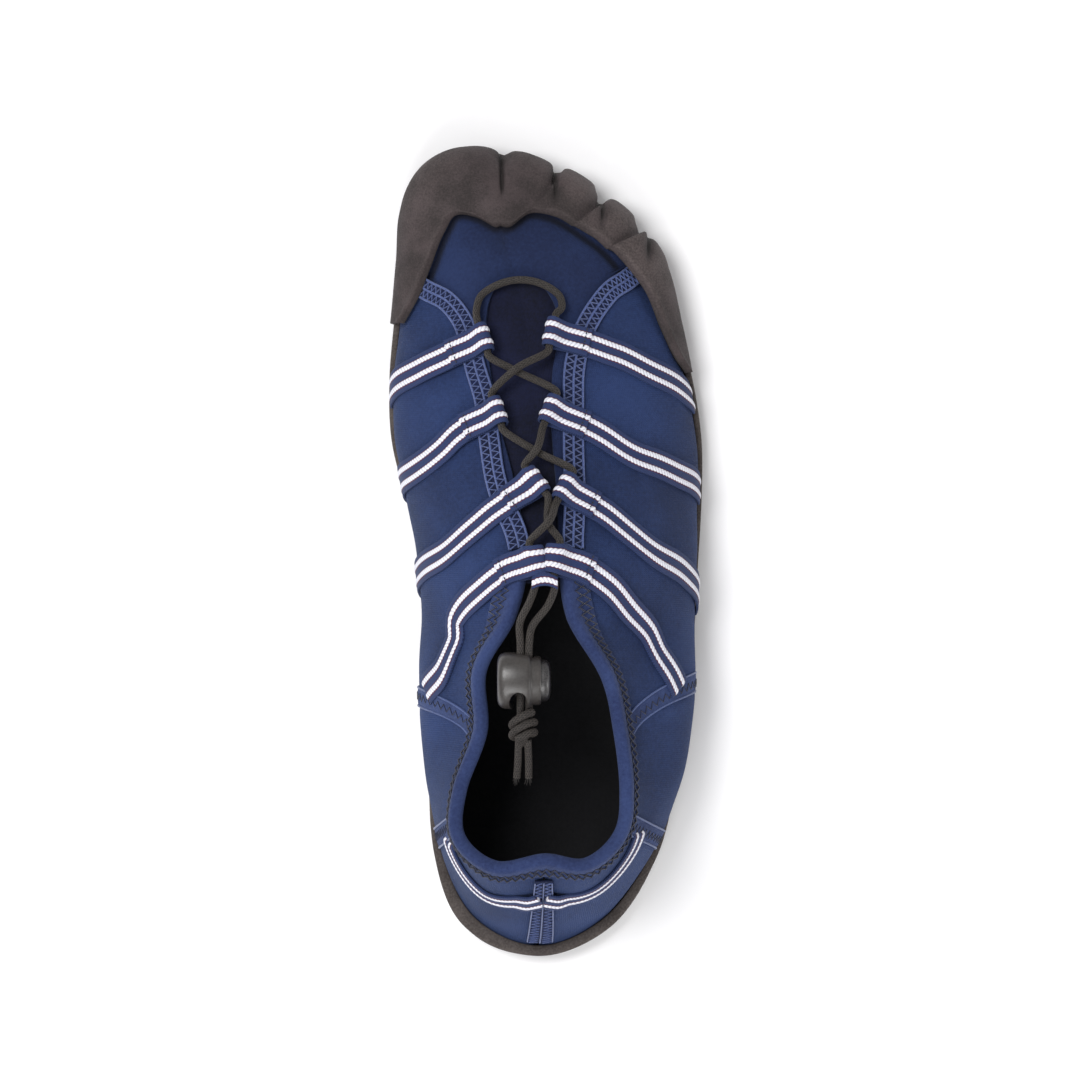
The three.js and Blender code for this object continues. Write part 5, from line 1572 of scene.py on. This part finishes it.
def make_insole():
    """Foam sock liner: rounded edge, and a top that sits a little lower towards its middle."""
    v = 0.5 - 0.5 * np.cos(np.pi * np.linspace(0, 1, 130))
    low, high, inset = 6.25, 6.2 + 4, -1.9
    upper = ((0.7, -0.45), (0.45, -0.3), (0.22, -0.1), (0.1, 0.0), (0.04, -0.05), (0.012, -0.4), (0, -1.0))
    lower = ((0, 1.0), (0.01, 0.3), (0.04, 0), (0.4, 0))
    halves = []
    for side in (-1.0, 1.0):
        rows = [spine_point(v, high - 0.5)]
        for level, profile in ((high, upper), (low, lower)):
            for share, rise in profile:
                rows.append(towards_spine(edge_point(side, v, inset, level + rise), v, share))
        rows.append(spine_point(v, low))
        points = np.array(rows).transpose(1, 0, 2)
        centre = (points[:, :1] + points[:, -1:]) / 2
        halves.append(grid_sheet("insole_half", points, points[..., :2], points - centre))
    insole = facing_out(merged("insole_pad", halves, 0.05))
    finished(insole, [INSOLE_CLOTH], "shoe", ["insole"], 60)
    return insole


# ---- cord lock ----
LOCK_LENGTH, LOCK_WIDTH, LOCK_HEIGHT = 14.6, 19.0, 15.0
LIP_LENGTH, LIP_INSET = 3.4, 1.3
BUTTON_WIDTH, BUTTON_HEIGHT, BUTTON_REACH = 14.0, 10.6, 3.3


def lock_to_frame(obj):
    """Turns a piece drawn about the lock's axes to the slope of the lace, and sets it down on the shoe."""
    cosine, sine = math.cos(math.atan(-SLOPE)), math.sin(math.atan(-SLOPE))
    mesh = obj.data
    flat = np.empty(len(mesh.vertices) * 3)
    mesh.vertices.foreach_get("co", flat)
    x, y, z = flat.reshape(-1, 3).T / MM
    turned = np.stack([x, y * cosine - z * sine, y * sine + z * cosine], axis=-1)
    mesh.vertices.foreach_set("co", in_frame(turned + LOCK).astype(np.float32).ravel())
    mesh.update()
    return obj


def turned_drum(name, profile, width, height, sides=64):
    """An oval disc pushed out along x in steps, each ring drawn to its share of the full section."""
    start = profile[0]
    bpy.ops.object.select_all(action="DESELECT")
    bpy.ops.mesh.primitive_circle_add(
        vertices=sides, radius=0.5 * MM, fill_type="NGON", location=(start[0] * MM, 0, 0),
        rotation=(0, math.pi / 2, 0),
    )
    obj = bpy.context.active_object
    obj.name = obj.data.name = name
    bpy.ops.object.transform_apply(location=True, rotation=True, scale=True)
    edit_all(obj)
    first = (1, width * start[1], height * start[1])
    bpy.ops.transform.resize(value=first, center_override=(start[0] * MM, 0, 0))
    before = start
    for at in profile[1:]:
        bpy.ops.mesh.extrude_region_move(TRANSFORM_OT_translate={"value": ((at[0] - before[0]) * MM, 0, 0)})
        ratio = at[1] / before[1]
        bpy.ops.transform.resize(value=(1, ratio, ratio), center_override=(at[0] * MM, 0, 0))
        before = at
    bpy.ops.mesh.select_all(action="SELECT")
    bpy.ops.mesh.normals_make_consistent(inside=False)
    bpy.ops.object.mode_set(mode="OBJECT")
    return obj


def rounded_block(name, low, high, rounding):
    """A block between two corners, in millimetres about the lock's axes, with rounded edges."""
    low, high = np.array(low, float), np.array(high, float)
    bpy.ops.object.select_all(action="DESELECT")
    bpy.ops.mesh.primitive_cube_add(size=1, location=(low + high) / 2 * MM)
    obj = bpy.context.active_object
    obj.name = name
    obj.scale = (high - low) * MM
    bpy.ops.object.transform_apply(location=True, rotation=True, scale=True)
    edit_all(obj)
    bpy.ops.mesh.bevel(offset=rounding * MM, segments=5, affect="EDGES")
    bpy.ops.object.mode_set(mode="OBJECT")
    return obj


CORDS_ASIDE = 1.9  # the cords pass the lock a little to the lateral side of its middle
SLOT_LOW = CORDS_ASIDE - STRAND_SPACING / 2 - LACE / 2 - CORD_SLACK
SLOT_HIGH = CORDS_ASIDE + STRAND_SPACING / 2 + LACE / 2 + CORD_SLACK
CORD_SLOT_HEIGHT = LACE + 2 * CORD_SLACK


def mouth_cutter(clearance):
    """The oval mouth at the heel side of the top, where the lace ends leave."""
    bpy.ops.object.select_all(action="DESELECT")
    place = (-0.2 * MM, -6.4 * MM, 3.2 * MM)
    bpy.ops.mesh.primitive_uv_sphere_add(segments=40, ring_count=24, radius=MM, location=place)
    mouth = bpy.context.active_object
    mouth.scale = (3.2 + clearance, 4.3 + clearance, 9.0 + clearance)
    bpy.ops.object.transform_apply(location=True, rotation=True, scale=True)
    return mouth


def make_barrel():
    lip = 1 - 2 * LIP_INSET / LOCK_WIDTH
    half = LOCK_LENGTH / 2
    shoulder = half - LIP_LENGTH
    barrel = turned_drum("cord_lock_barrel_shell", [
        (-half, 0.6), (-half + 0.12, 0.72), (-half + 0.4, 0.82), (-half + 0.9, 0.905), (-half + 1.7, 0.965),
        (-half + 2.8, 1.0), (-1.0, 1.0), (shoulder - 1.2, 0.995), (shoulder - 0.55, 0.975), (shoulder - 0.2, 0.94),
        (shoulder, 0.9), (shoulder + 0.25, lip + 0.01), (shoulder + 0.6, lip), (half - 0.7, lip),
        (half - 0.25, lip - 0.015), (half, lip - 0.05),
    ], LOCK_WIDTH, LOCK_HEIGHT)
    bore = turned_drum("bore", [(-half + 1.2, 1), (half + 1, 1)], BUTTON_WIDTH + 0.6, BUTTON_HEIGHT + 0.6, 48)
    tall = CORD_SLOT_HEIGHT / 2
    slot = rounded_block("slot", (SLOT_LOW, -30, -tall), (SLOT_HIGH, 30, tall), 1.3)
    carved(barrel, bore, slot, mouth_cutter(0.0))
    lock_to_frame(rounded_edges(barrel, 0.22, degrees=48))
    return finished(barrel, [BARREL_PLASTIC], "cord_lock", ["cord_lock_barrel"], 40)


def make_button():
    inner = SLOT_LOW - 0.05 - 1.2
    outer = LOCK_LENGTH / 2 + BUTTON_REACH
    button = turned_drum("cord_lock_button_cap", [
        (inner, 0.96), (inner + 0.3, 1), (outer - 2.4, 1), (outer - 1.7, 0.985), (outer - 1.1, 0.94),
        (outer - 0.65, 0.86), (outer - 0.32, 0.72), (outer - 0.12, 0.52), (outer, 0.25),
    ], BUTTON_WIDTH, BUTTON_HEIGHT)
    half = CORD_SLOT_HEIGHT / 2
    window = rounded_block("window", (SLOT_LOW - 0.05, -30, -half), (SLOT_HIGH + 2, 30, half), 0.6)
    carved(button, window, mouth_cutter(0.4))
    lock_to_frame(rounded_edges(button, 0.18, degrees=55))
    return finished(button, [BUTTON_PLASTIC], "lock_button", ["cord_lock_button"], 40)


# ---- the shoe is put together ----
make_vamp()
make_gusset()
for side in SIDE:
    make_quarter(side)
    make_side_panel(f"ankle_{side}_panel", side, ANKLE_FRONT[side], ANKLE_REAR, 60, f"ankle_panel_{side}")
    back_seam = [(1 - 0.5 * SEAM_GAP / CLOTH_LENGTH, h) for _, h in ANKLE_REAR]
    make_side_panel(f"heel_{side}_panel", side, ANKLE_REAR, back_seam, 70, f"heel_panel_{side}")
    make_heel_webbing(side)
make_binding()
make_binding_stitches()
make_tapes()
make_back_seam()
for name in STRAPS:
    make_strap(name)
make_keeper()
make_lace()
make_toe_cap()
make_outsole()
make_insole()
barrel = make_barrel()
make_button()

for node, material in (("lasting_board", BOARD), ("cord_lock_spring", STEEL)):
    carried = bpy.data.objects[node]
    carried.data.materials.clear()
    carried.data.materials.append(material)
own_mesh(bpy.data.objects["cord_lock_spring"])
